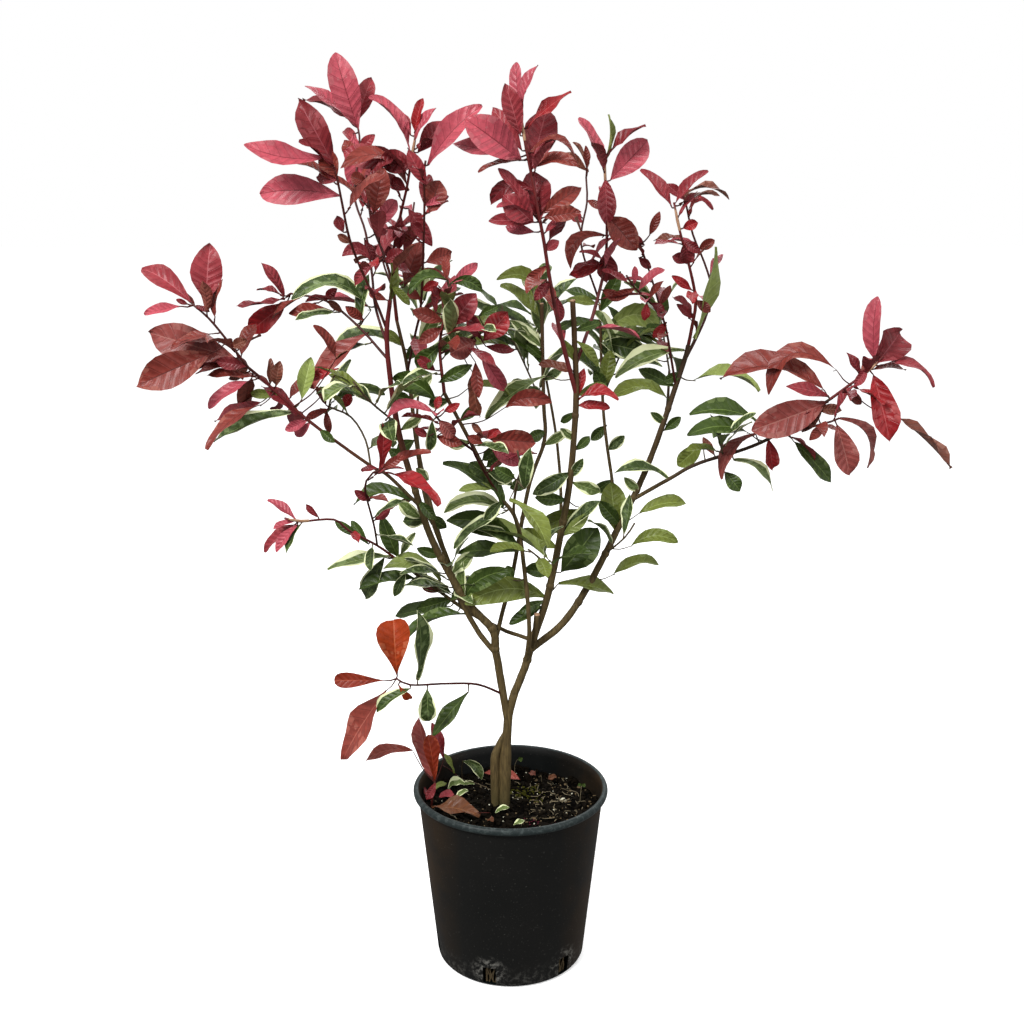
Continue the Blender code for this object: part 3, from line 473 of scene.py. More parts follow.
def smooth_path(points, step):
    """Points about one step apart on a Catmull-Rom curve through the given ones."""
    pts = [points[0] * 2 - points[1], *points, points[-1] * 2 - points[-2]]
    out = [points[0]]
    for a, b, c, d in zip(pts, pts[1:], pts[2:], pts[3:]):
        count = max(1, round((c - b).length / step))
        for i in range(1, count + 1):
            t = i / count
            out.append(0.5 * (2 * b + (c - a) * t + (2 * a - 5 * b + 4 * c - d) * t ** 2
                              + (3 * b - a - 3 * c + d) * t ** 3))
    return out


def tapered(path, sizes):
    """Radii along a path that run evenly through the given ones."""
    spans = [0.0]
    for a, b in zip(path, path[1:]):
        spans.append(spans[-1] + (b - a).length)
    return list(np.interp(np.array(spans) / spans[-1], np.linspace(0, 1, len(sizes)), sizes))


def sweep(bm, path, radii, sides, knots=0.0, seed=0.0):
    """Extrude a round section along a path, with slight swellings where leaves once stood."""
    across = (path[1] - path[0]).orthogonal()
    face = None
    for i, centre in enumerate(path):
        along = (path[min(i + 1, len(path) - 1)] - path[max(i - 1, 0)]).normalized()
        across = (across - along * across.dot(along)).normalized()
        up = along.cross(across)
        if face is None:
            ring = bmesh.ops.create_circle(bm, cap_ends=True, segments=sides, radius=1.0)["verts"]
            face = ring[0].link_faces[0]
        else:
            out = bmesh.ops.extrude_discrete_faces(bm, faces=[face])["faces"]
            face = out[0]
        for k, loop in enumerate(face.loops):
            angle = math.tau * k / sides
            spot = centre * 90.0 + Vector((math.cos(angle), math.sin(angle), seed)) * 0.6
            swell = 1.0 + knots * noise.noise(spot) + knots * 0.9 * max(0.0, noise.noise(
                Vector((seed, 0.0, centre.z * 55.0))) - 0.25)
            loop.vert.co = centre + (across * math.cos(angle) + up * math.sin(angle)) * radii[i] * swell


def at_height(path, radii, height):
    """The point, direction and radius of a limb where it passes a height; 0 is its tip."""
    if height == 0:
        return path[-1], (path[-1] - path[-2]).normalized(), radii[-1]
    near = min(range(len(path) - 1), key=lambda i: abs((path[i].z + path[i + 1].z) / 2 - height))
    return path[near], (path[near + 1] - path[near]).normalized(), radii[near]


limbs = {}
bm = bmesh.new()
path = smooth_path([Vector(p) * MM for p in FOOT_POINTS], RING_STEP)
limbs["trunk"] = (path, tapered(path, [r * MM for r in FOOT_RADII]))
sweep(bm, *limbs["trunk"], LIMB_SIDES, 0.10, 1.0)
path = smooth_path([Vector(p) * MM for p in SECOND_FOOT_POINTS], RING_STEP)
sweep(bm, path, tapered(path, [r * MM for r in SECOND_FOOT_RADII]), LIMB_SIDES, 0.10, 2.0)
for seed, (name, (parent, height, points, foot, tip)) in enumerate(BOUGHS.items()):
    start, along, thick = at_height(*limbs[parent], height * MM)
    path = smooth_path([start, *[Vector(p) * MM for p in points]], RING_STEP)
    limbs[name] = (path, tapered(path, [foot * MM, tip * MM]))
    sweep(bm, *limbs[name], LIMB_SIDES, 0.10, seed * 3.7)
path = smooth_path([Vector(p) * MM for p in STUB_POINTS], RING_STEP)
limbs["stub"] = (path, tapered(path, [r * MM for r in STUB_RADII]))
sweep(bm, *limbs["stub"], LIMB_SIDES, 0.10, 3.0)
for name, heights in KNUCKLES.items():
    for height in heights:
        middle, along, thick = at_height(*limbs[name], height * MM)
        path = [middle + along * step * MM for step in (-4.0, -1.6, 1.0, 4.5)]
        sweep(bm, path, [thick * 0.96, thick * 1.15, thick * 1.17, thick * 0.97], LIMB_SIDES, 0.08, height)
limbs["soil"] = ([Vector(p) * MM for p in LOW_SHOOT_FOOT], [0.002, 0.002])
bmesh.ops.recalc_face_normals(bm, faces=bm.faces)

bark_finish = Finish("olive_bark", (0.09, 0.065, 0.035), 0.75, specular_ior_level=0.25)
where = bark_finish.place()
streak = bark_finish.noise(1.0, 4.0, 0.6, bark_finish.node(
    "ShaderNodeVectorMath", {"operation": "MULTIPLY"}, where, (420.0, 420.0, 60.0)))
patch = bark_finish.noise(38.0, 3.0, 0.6)
height = bark_finish.node("ShaderNodeSeparateXYZ", {}, where, out="Z")
tone = bark_finish.blend((streak - 0.25) * 2.0, (0.024, 0.015, 0.004), (0.155, 0.108, 0.040))
tone = bark_finish.blend((patch - 0.42) * 2.6, tone, (0.070, 0.046, 0.016))
tone = bark_finish.blend(((height - 0.62) * 3.2).clamp() * 0.8, tone, (0.062, 0.022, 0.010))
young = ((height - 0.66) * 9.0).clamp() * ((-0.020 - bark_finish.node(
    "ShaderNodeSeparateXYZ", {}, where, out="Y")) * 25.0).clamp()
young = young * ((-0.090 - bark_finish.node("ShaderNodeSeparateXYZ", {}, where, out="X")) * 40.0).clamp()
tone = bark_finish.blend(young * 0.9, tone, bark_finish.blend(streak, (0.050, 0.004, 0.006),
                                                              (0.190, 0.012, 0.018)))
tone = bark_finish.blend(((0.262 - height) * 26.0 * patch).clamp() * 0.6, tone, (0.026, 0.036, 0.010))
far = ((bark_finish.node("ShaderNodeSeparateXYZ", {}, where, out="X") - 0.170) * 14.0).clamp()
tone = bark_finish.blend(far * 0.75, tone, (0.026, 0.012, 0.009))
bark_finish.put("Base Color", tone)
bark_finish.put("Roughness", 0.62 + streak * 0.25)
bark_finish.bump(streak, 0.0006, 0.8)
piece_from(bm, "stems", bark_finish, "bark", "trunk", *BOUGHS)


# The foliage: shoots that grow on from the boughs. Every leaf that shows from the front has its
# own line: mm below the shoot's tip, length and clock angle of its petiole, length and clock angle of its
# blade, lean away from the front, width as it shows, bow of the midrib to its left, and tint.
# A two-fifths spiral of plainer leaves fills in round them.
RED = (("wine", 5), ("rose", 3), ("deep", 3), ("bright", 1), ("rust", 2))
RUST = (("rust", 4), ("wine", 2), ("deep", 1), ("dusty", 1))
GREEN = (("cream", 6), ("green", 3), ("olive", 2), ("pale", 2))
MIXED = (("wine", 2), ("rust", 2), ("bright", 1), ("cream", 4), ("green", 2), ("olive", 1))

FOLIAGE = {
    "upper_left_foliage": ("left_bough", RED, [
        (862, [(-155, -90, 890), (-169, -100, 925), (-179, -120, 960), (-184, -140, 1002),
                (-189, -150, 1038)], 5, 70, 45, [
            (0, 15, 144, 83, 170, -15, 23, 10, "rose"), (33, 0, 178, 96, 178, 10, 32, -4, "rose"),
            (0, 0, 118, 76, 118, -5, 29, 0, "deep"), (3, 0, 120, 81, 120, 20, 9, 0, "rose"),
            (13, 0, 116, 32, 116, 0, 20, 0, "rust"), (7, 0, 132, 50, 132, -20, 6, 0, "deep"),
            (75, 5, 192, 19, 113, 5, 11, 0, "deep"), (90, 0, 147, 17, 147, -10, 8, 0, "brown"),
            (16, 0, 169, 25, 169, 15, 14, 0, "wine"),]),
    ]),
    "top_foliage": ("left_bough", RED, [
        (842, [(-160, -48, 880), (-167, -10, 915), (-178, 30, 964), (-194, 60, 1009),
                (-188, 80, 1067), (-190, 84, 1090)], 6, 80, 45, [
            (2, 0, 105, 93, 105, -15, 35, 0, "rose"), (0, 7, 105, 59, 71, 10, 23, 0, "wine"),
            (0, 13, 134, 68, 139, -5, 13, 0, "rose"), (0, 18, 139, 70, 151, 20, 11, 0, "deep"),
            (5, 7, 189, 75, 276, 0, 33, 0, "rose"), (28, 0, 43, 29, 43, -20, 13, 0, "wine"),
            (41, 2, 166, 29, 123, 5, 16, 0, "rust"),]),
    ]),
    "upper_inner_foliage": ("left_bough", RED, [
        (0, [(-137, -85, 913), (-147, -80, 946), (-160, -70, 980), (-165, -60, 1030)], 6, 65, 40, [
            (43, 5, 4, 51, 76, -10, 26, 0, "rust"), (62, 3, 7, 41, 55, 15, 18, 0, "rose"),
            (95, 17, 198, 32, 171, -15, 14, -11, "wine"), (98, 13, 201, 38, 225, 10, 11, 0, "wine"),
            (68, 14, 202, 30, 296, -5, 9, 0, "deep"), (71, 0, 31, 15, 31, 20, 7, 0, "deep"),
            (147, 5, 274, 54, 84, 0, 9, 0, "olive"), (130, 0, 316, 32, 316, -20, 9, 0, "olive"),
            (8, 0, 161, 20, 161, 5, 14, 0, "rust"), (102, 2, 202, 26, 33, -10, 14, 0, "deep"),
            (147, 4, 183, 24, 158, 15, 9, 0, "rust"),]),
    ]),
    "upper_middle_foliage": ("left_back_bough", RED, [
        (0, [(-144, 12, 905), (-141, 0, 944), (-129, -20, 991), (-122, -30, 1014),
                (-113, -40, 1056), (-109, -44, 1076)], 6, 70, 40, [
            (65, 3, 349, 83, 162, -15, 17, -25, "rust"), (39, 20, 170, 66, 165, 10, 27, 0, "wine"),
            (19, 4, 178, 74, 124, -5, 12, -3, "rose"), (2, 6, 171, 34, 114, 20, 9, 0, "wine"),
            (0, 2, 125, 39, 74, 0, 11, 0, "bright"), (7, 0, 53, 46, 53, -20, 10, 0, "rose"),
            (20, 6, 351, 48, 49, 5, 22, 0, "wine"), (38, 3, 1, 39, 165, -10, 27, 0, "deep"),
            (65, 0, 150, 23, 150, 15, 15, 0, "wine"), (87, 8, 347, 52, 303, -15, 17, 0, "wine"),
            (95, 0, 264, 44, 264, 10, 14, 0, "deep"), (131, 0, 26, 32, 26, -5, 16, 0, "rust"),
            (192, 14, 4, 62, 71, 20, 25, 0, "rust"), (159, 6, 354, 26, 129, 0, 11, 0, "deep"),]),
        (900, [(-160, 50, 930), (-174, 95, 984)], 5, 70, 45, []),
        (915, [(-128, 50, 950), (-122, 88, 1000)], 5, 70, 45, []),
    ]),
    "left_spire_foliage": ("left_back_bough", RED, [
        (800, [(-116, -10, 845), (-106, -40, 887), (-98, -76, 996), (-98, -84, 1026),
                (-95, -90, 1045)], 6, 60, 40, [
            (5, 4, 358, 90, 48, -20, 25, 0, "rose"), (59, 6, 356, 38, 72, 5, 27, 0, "rust"),
            (28, 3, 354, 43, 117, -10, 16, 0, "wine"), (119, 3, 4, 34, 20, 15, 19, 0, "rust"),
            (83, 0, 142, 19, 142, -15, 11, 0, "deep"), (51, 0, 21, 30, 21, 10, 9, 0, "rose"),
            (154, 0, 26, 22, 26, -5, 11, 0, "bright"), (166, 0, 147, 21, 147, 20, 11, 0, "rust"),]),
    ]),
    "centre_foliage": ("centre_bough", RED, [
        (780, [(60, -54, 846), (46, -70, 912), (37, -90, 963), (31, -100, 991),
                (26, -105, 1018), (18, -110, 1055), (10, -110, 1100)], 7, 60, 40, [
            (7, 0, 98, 55, 98, 0, 14, 0, "rose"), (5, 2, 13, 52, 76, -20, 9, 0, "rose"),
            (5, 0, 76, 35, 76, 5, 7, 0, "brown"), (29, 4, 190, 57, 107, -10, 21, 0, "wine"),
            (45, 5, 189, 60, 125, 15, 19, 0, "wine"), (54, 9, 194, 75, 144, -15, 37, 0, "rose"),
            (50, 13, 189, 73, 167, 10, 19, 4, "rose"), (55, 7, 189, 50, 189, -5, 7, 0, "rust"),
            (68, 0, 75, 76, 75, 20, 36, 0, "wine"), (22, 4, 8, 62, 40, 0, 13, 0, "bright"),
            (68, 0, 5, 55, 5, -20, 14, 9, "rust"), (48, 4, 4, 54, 353, 5, 8, 15, "rust"),
            (116, 6, 193, 65, 128, -10, 14, 0, "wine"), (89, 0, 197, 55, 197, 15, 17, -12, "deep"),
            (124, 9, 193, 45, 138, -15, 29, 0, "wine"), (126, 2, 183, 57, 95, 10, 32, 0, "deep"),
            (125, 4, 194, 54, 176, -5, 15, 0, "wine"), (136, 9, 193, 36, 171, 20, 12, 0, "rose"),
            (117, 3, 16, 53, 34, 0, 19, 0, "rust"), (121, 5, 9, 44, 9, -20, 16, 0, "rust"),
            (127, 3, 14, 44, 348, 5, 9, 17, "brown"), (140, 2, 19, 35, 36, -10, 8, 0, "wine"),
            (179, 0, 221, 35, 221, 15, 12, 0, "rust"), (198, 0, 231, 30, 231, -15, 12, 0, "deep"),
            (219, 5, 6, 30, 278, 10, 12, 0, "wine"), (161, 0, 38, 19, 38, -5, 11, 0, "wine"),]),
    ]),
    "centre_right_foliage": ("centre_bough", RED, [
        (815, [(94, -18, 849), (104, -6, 879), (116, 10, 931), (117, 20, 991),
                (114, 20, 1035), (114, 20, 1055)], 6, 65, 45, [
            (15, 0, 117, 72, 117, 20, 15, 0, "rose"), (6, 0, 83, 53, 83, 0, 5, 0, "olive"),
            (5, 0, 43, 63, 43, -20, 9, 0, "deep"), (30, 6, 8, 65, 46, 5, 32, 0, "rose"),
            (27, 0, 273, 56, 273, -10, 22, 0, "wine"), (12, 0, 117, 20, 117, 15, 8, 0, "deep"),
            (70, 0, 311, 57, 311, -15, 31, 0, "rust"), (113, 0, 274, 39, 274, 10, 25, 0, "deep"),
            (94, 3, 190, 57, 224, -5, 15, -17, "rust"), (127, 0, 202, 49, 202, 20, 15, 0, "bright"),
            (129, 3, 165, 38, 189, 0, 7, 0, "deep"), (127, 0, 152, 36, 152, -20, 6, 0, "wine"),
            (122, 0, 46, 41, 46, 5, 8, 0, "rose"), (161, 3, 344, 25, 332, -10, 12, 0, "rust"),]),
        (890, [(88, 50, 950), (96, 75, 1000), (95, 82, 1030)], 4, 50, 35, [
            (0, 7, 76, 43, 111, 15, 5, 0, "brown"), (0, 12, 89, 28, 94, -15, 8, 0, "rust"),
            (0, 9, 87, 36, 141, 10, 12, 0, "brown"), (28, 0, 333, 22, 333, -5, 9, 0, "rust"),
            (58, 0, 147, 19, 147, 20, 10, 0, "wine"),]),
    ]),
    "right_red_foliage": ("right_bough", RED, [
        (0, [(231, 50, 855), (232, 40, 881), (221, 20, 919), (204, 0, 967),
                (196, 0, 1000)], 5, 45, 35, [
            (6, 3, 194, 59, 128, 0, 15, 0, "wine"), (3, 0, 49, 56, 49, -20, 11, 0, "wine"),
            (4, 6, 6, 50, 20, 5, 6, 0, "brown"), (32, 4, 9, 19, 22, -10, 12, 0, "bright"),
            (49, 5, 18, 30, 276, 15, 18, 0, "deep"), (118, 3, 185, 32, 145, -15, 10, 0, "bright"),
            (42, 0, 189, 34, 189, 10, 7, 0, "brown"), (47, 0, 326, 26, 326, -5, 11, 0, "deep"),
            (78, 3, 10, 24, 162, 20, 13, 0, "wine"), (133, 0, 322, 24, 322, 0, 12, 0, "rust"),
            (158, 0, 141, 31, 141, -20, 10, 0, "deep"),]),
    ]),
    "right_outer_foliage": ("right_bough", RED, [
        (806, [(250, 80, 853), (259, 90, 890), (250, 100, 925), (234, 100, 960),
                (222, 100, 1006)], 5, 50, 35, [
            (0, 3, 170, 61, 0, 5, 7, 10, "brown"), (18, 0, 8, 32, 8, -10, 7, 13, "deep"),
            (3, 0, 140, 32, 140, 15, 12, 0, "wine"), (68, 0, 33, 23, 33, -15, 12, 0, "rust"),]),
    ]),
    "right_inner_foliage": ("right_bough", RED, [
        (775, [(192, 30, 855), (172, 5, 880), (150, -14, 900), (139, -20, 915)], 5, 48, 35, [
            (21, 0, 206, 32, 206, 10, 11, 0, "rust"), (15, 2, 26, 21, 89, -5, 7, 0, "rose"),
            (27, 0, 39, 45, 39, 20, 10, 0, "rose"), (49, 3, 229, 22, 265, 0, 10, 0, "bright"),
            (49, 0, 58, 31, 58, -20, 7, 0, "rust"), (69, 5, 42, 28, 61, 5, 9, 0, "rust"),
            (55, 0, 333, 19, 333, -10, 9, 0, "deep"), (97, 3, 8, 26, 234, 15, 12, 0, "bright"),]),
        (850, [(176, 30, 905), (160, 34, 950)], 3, 45, 32, [
            (0, 16, 45, 31, 69, -15, 10, 0, "rust"), (3, 5, 19, 21, 148, 10, 10, 0, "wine"),
            (15, 7, 197, 20, 318, -5, 10, 0, "deep"),]),
    ]),
    "far_left_foliage": ("long_left_bough", RUST, [
        (0, [(-302, -105, 815), (-324, -110, 847), (-342, -115, 872), (-357, -120, 887)], 7, 70, 45, [
            (0, 4, 132, 79, 148, 20, 22, -2, "wine"), (10, 10, 50, 67, 84, 0, 35, 0, "wine"),
            (0, 14, 184, 41, 190, -20, 11, 0, "rose"), (1, 0, 340, 18, 340, 5, 5, 0, "deep"),
            (0, 6, 170, 14, 155, -10, 5, 0, "deep"), (76, 5, 210, 112, 166, 15, 42, 0, "dusty"),
            (54, 22, 218, 92, 203, -15, 38, 0, "rust"), (62, 2, 211, 20, 23, 10, 12, 0, "brown"),
            (90, 0, 171, 36, 171, -5, 14, 0, "deep"), (96, 5, 222, 29, 198, 20, 10, 0, "brown"),
            (105, 4, 222, 55, 178, 0, 10, 0, "rust"),]),
        (812, [(-318, -70, 818), (-330, -40, 830)], 6, 60, 45, []),
    ]),
    "left_low_foliage": ("long_left_bough", RUST, [
        (770, [(-270, -70, 776), (-285, -60, 786)], 5, 60, 45, []),
    ]),
    "left_inner_foliage": ("long_left_bough", GREEN, [
        (693, [(-175, -56, 721), (-194, -38, 746), (-223, -20, 756)], 4, 75, 50, [
            (0, 4, 82, 60, 66, 10, 15, 0, "cream"), (0, 4, 150, 26, 115, -5, 7, 0, "brown"),
            (1, 6, 69, 69, 11, 20, 15, 5, "green"), (0, 6, 234, 28, 276, 0, 9, 0, "rust"),
            (1, 3, 243, 32, 201, -20, 9, 0, "rust"), (21, 5, 72, 19, 62, 5, 12, 0, "bright"),]),
    ]),
    "left_arch_foliage": ("left_bough", MIXED, [
        (824, [(-179, -58, 857), (-219, -40, 886), (-263, -30, 894)], 5, 70, 40, [
            (95, 25, 44, 92, 170, -10, 17, -24, "cream"), (61, 7, 229, 57, 184, 15, 16, 0, "rust"),
            (0, 8, 204, 48, 120, -15, 11, 0, "wine"), (0, 10, 201, 34, 164, 10, 5, 0, "deep"),
            (0, 9, 218, 58, 183, -5, 6, 7, "deep"), (0, 13, 241, 68, 217, 20, 27, 0, "bright"),
            (72, 0, 140, 22, 140, 0, 8, 0, "brown"), (98, 11, 47, 28, 139, -20, 11, 0, "rust"),
            (112, 4, 39, 101, 219, 5, 24, 0, "dusty"), (43, 0, 41, 22, 41, -10, 10, 0, "deep"),]),
    ]),
    "left_green_foliage": ("left_bough", GREEN, [
        (745, [(-165, -95, 775), (-180, -115, 800)], 8, 85, 60, []),
    ]),
    "middle_foliage": ("middle_left_bough", MIXED, [
        (0, [(-82, -90, 839), (-73, -100, 880), (-69, -108, 905)], 7, 75, 45, [
            (0, 6, 69, 39, 36, 15, 12, 0, "rose"), (0, 9, 96, 47, 198, -15, 11, -10, "green"),
            (0, 6, 79, 38, 344, 10, 14, 7, "green"), (32, 11, 168, 30, 91, -5, 8, 0, "wine"),
            (0, 10, 106, 28, 95, 20, 9, 0, "rust"), (41, 0, 160, 38, 160, 0, 16, 0, "rust"),
            (49, 0, 211, 33, 211, -20, 14, 0, "rust"), (77, 0, 38, 33, 38, 5, 14, 0, "green"),
            (43, 9, 346, 48, 51, -10, 27, 0, "wine"), (70, 0, 225, 41, 225, 15, 21, 0, "green"),
            (114, 5, 189, 46, 29, -15, 14, 0, "green"), (128, 14, 225, 59, 155, 10, 24, -7, "green"),
            (100, 7, 183, 27, 143, -5, 12, 0, "deep"), (14, 0, 148, 26, 148, 20, 10, 0, "bright"),]),
        (830, [(-40, -96, 850), (-20, -100, 862)], 5, 65, 45, [
            (26, 5, 303, 34, 206, 0, 26, 0, "dusty"), (21, 5, 306, 35, 113, -20, 15, 0, "deep"),
            (19, 9, 301, 43, 48, 5, 26, 0, "bright"), (8, 19, 120, 25, 26, -10, 9, 0, "green"),
            (28, 20, 297, 58, 301, 15, 18, 0, "rose"), (38, 27, 298, 41, 275, -15, 13, 0, "rust"),
            (46, 37, 295, 57, 277, 10, 13, 0, "brown"), (19, 16, 299, 33, 352, -5, 10, 0, "deep"),]),
    ]),
    "middle_front_foliage": ("middle_left_bough", MIXED, [
        (652, [(-34, -72, 690), (-45, -100, 722), (-36, -124, 742)], 2, 75, 50, [
            (0, 13, 327, 56, 353, 10, 26, 0, "rust"), (50, 21, 26, 40, 330, -5, 17, 0, "rose"),
            (1, 7, 321, 20, 132, 20, 7, 0, "brown"), (0, 11, 322, 18, 40, 0, 9, 0, "bright"),
            (12, 10, 325, 19, 153, -20, 10, 0, "rust"),]),
    ]),
    "middle_low_foliage": ("middle_left_bough", RED, [
        (706, [(-70, -90, 735), (-90, -118, 766)], 5, 60, 40, [
            (1, 0, 190, 63, 190, 20, 12, -8, "rose"), (2, 4, 40, 17, 73, 0, 8, 0, "bright"),
            (12, 12, 38, 22, 31, -20, 9, 0, "bright"), (17, 0, 311, 27, 311, 5, 16, 0, "dusty"),
            (34, 15, 219, 33, 345, -10, 13, 0, "rust"), (11, 7, 218, 42, 263, 15, 12, 0, "cream"),
            (26, 22, 219, 19, 147, -15, 9, 0, "deep"),]),
    ]),
    "front_foliage": ("front_bough", GREEN, [
        (0, [(12, -160, 708), (8, -172, 730)], 0, 65, 45, [
            (52, 29, 244, 81, 316, -43, 15, 5, "olive"), (73, 15, 314, 59, 86, -30, 16, 0, "cream"),
            (57, 3, 157, 29, 147, -20, 14, 0, "green"),]),
    ]),
    "back_foliage": ("back_bough", GREEN, [
        (740, [(18, 145, 790), (-6, 160, 840), (-12, 165, 865)], 12, 90, 60, []),
    ]),
    "back_centre_foliage": ("back_centre_bough", GREEN, [
        (0, [(36, 226, 838), (32, 238, 880)], 15, 90, 60, []),
    ]),
    "back_left_foliage": ("back_left_bough", GREEN, [
        (0, [(-122, 190, 845), (-128, 202, 890)], 20, 90, 60, []),
    ]),
    "back_right_foliage": ("back_right_bough", GREEN, [
        (0, [(208, 168, 825), (200, 180, 862)], 15, 85, 60, []),
    ]),
    "right_back_foliage": ("right_back_bough", GREEN, [
        (745, [(146, 165, 790), (160, 172, 820)], 12, 85, 60, []),
    ]),
    "right_low_foliage": ("right_bough", GREEN, [
        (560, [(146, 4, 583), (158, -2, 604)], 3, 60, 45, []),
    ]),
    "right_far_foliage": ("long_right_bough", RED, [
        (0, [(410, -40, 786), (434, -50, 809), (444, -52, 822)], 6, 60, 45, [
            (51, 24, 134, 85, 203, 10, 18, -37, "rust"), (12, 3, 131, 77, 95, -5, 17, 0, "rose"),
            (11, 0, 48, 52, 48, 20, 38, 0, "deep"), (14, 9, 360, 70, 342, 0, 11, 9, "wine"),
            (22, 7, 306, 83, 284, -20, 32, 0, "bright"), (57, 69, 331, 89, 317, -15, 11, 0, "brown"),
            (35, 0, 122, 35, 122, -10, 10, 0, "deep"), (59, 0, 318, 32, 318, 15, 11, 0, "rust"),
            (24, 4, 136, 26, 234, -15, 11, 0, "wine"),]),
    ]),
    "right_middle_foliage": ("long_right_bough", RUST, [
        (718, [(356, -22, 727), (377, -30, 735), (391, -35, 740), (400, -40, 745)], 5, 60, 45, [
            (24, 20, 107, 32, 357, 5, 13, 0, "brown"), (6, 6, 293, 64, 287, -10, 29, 0, "dusty"),
            (0, 0, 303, 82, 303, 15, 13, 17, "dusty"), (21, 0, 230, 26, 230, -15, 11, 0, "rust"),]),
    ]),
    "right_green_foliage": ("long_right_bough", GREEN, [
        (690, [(262, -18, 706), (264, -24, 722)], 6, 60, 45, []),
    ]),
    "low_centre_foliage": ("centre_bough", GREEN, [
        (548, [(36, -30, 566), (22, -48, 582)], 4, 70, 50, []),
    ]),
    "low_left_inner_foliage": ("low_left_bough", GREEN, [
        (480, [(-76, 20, 515), (-86, 0, 545)], 10, 75, 55, []),
    ]),
    "left_tip_foliage": ("low_left_bough", MIXED, [
        (0, [(-170, -4, 575), (-201, -40, 604), (-216, -60, 623), (-250, -96, 630),
                (-268, -105, 636)], 4, 55, 40, [
            (15, 0, 141, 42, 141, 5, 8, 0, "rose"), (15, 0, 194, 29, 194, -10, 6, 0, "rose"),
            (16, 4, 252, 61, 223, 15, 12, 0, "wine"), (17, 5, 264, 41, 230, -15, 11, 0, "rose"),
            (47, 3, 88, 22, 136, 10, 7, 0, "deep"), (123, 0, 146, 36, 146, -5, 11, 0, "green"),
            (144, 5, 244, 39, 130, 20, 12, 0, "green"),]),
        (578, [(-168, -50, 612), (-172, -100, 672), (-160, -118, 694)], 4, 55, 40, [
            (0, 9, 17, 56, 83, 0, 13, 0, "bright"), (0, 14, 27, 33, 34, -20, 10, 0, "rust"),
            (0, 15, 28, 57, 16, 5, 8, 0, "rust"), (0, 14, 3, 75, 330, -10, 12, 4, "bright"),
            (0, 8, 36, 23, 189, 15, 6, 0, "deep"), (57, 4, 16, 23, 143, -15, 10, 0, "deep"),
            (97, 2, 10, 24, 36, 10, 11, 0, "wine"),]),
    ]),
    "low_left_foliage": ("left_leader", MIXED, [
        (374, [(-42, -24, 394), (-80, -46, 404), (-125, -76, 414), (-142, -80, 424)], 0, 60, 50, [
            (0, 4, 72, 69, 94, 10, 41, 0, "orange"), (0, 15, 187, 62, 178, -5, 18, 0, "coral"),
            (0, 25, 234, 144, 240, 20, 30, 0, "salmon"), (20, 5, 269, 56, 213, 0, 12, 0, "cream"),
            (31, 8, 92, 107, 83, -20, 16, 0, "cream"), (45, 5, 268, 48, 270, 5, 22, 0, "cream"),
            (106, 11, 268, 73, 229, -10, 17, 0, "green"), (6, 6, 238, 29, 300, 15, 10, 0, "orange"),]),
    ]),
    "low_shoot_foliage": ("soil", RED, [
        (0, [(-104, -9, 232), (-101, -10, 250)], 0, 40, 30, [
            (0, 0, 95, 69, 95, -5, 19, 0, "coral"), (0, 6, 119, 84, 104, 10, 20, 0, "dusty"),
            (0, 53, 124, 68, 193, 5, 11, -5, "salmon"), (0, 33, 68, 50, 110, 20, 14, 0, "deep"),
            (15, 18, 76, 25, 240, -20, 10, 0, "deep"),]),
    ]),
}

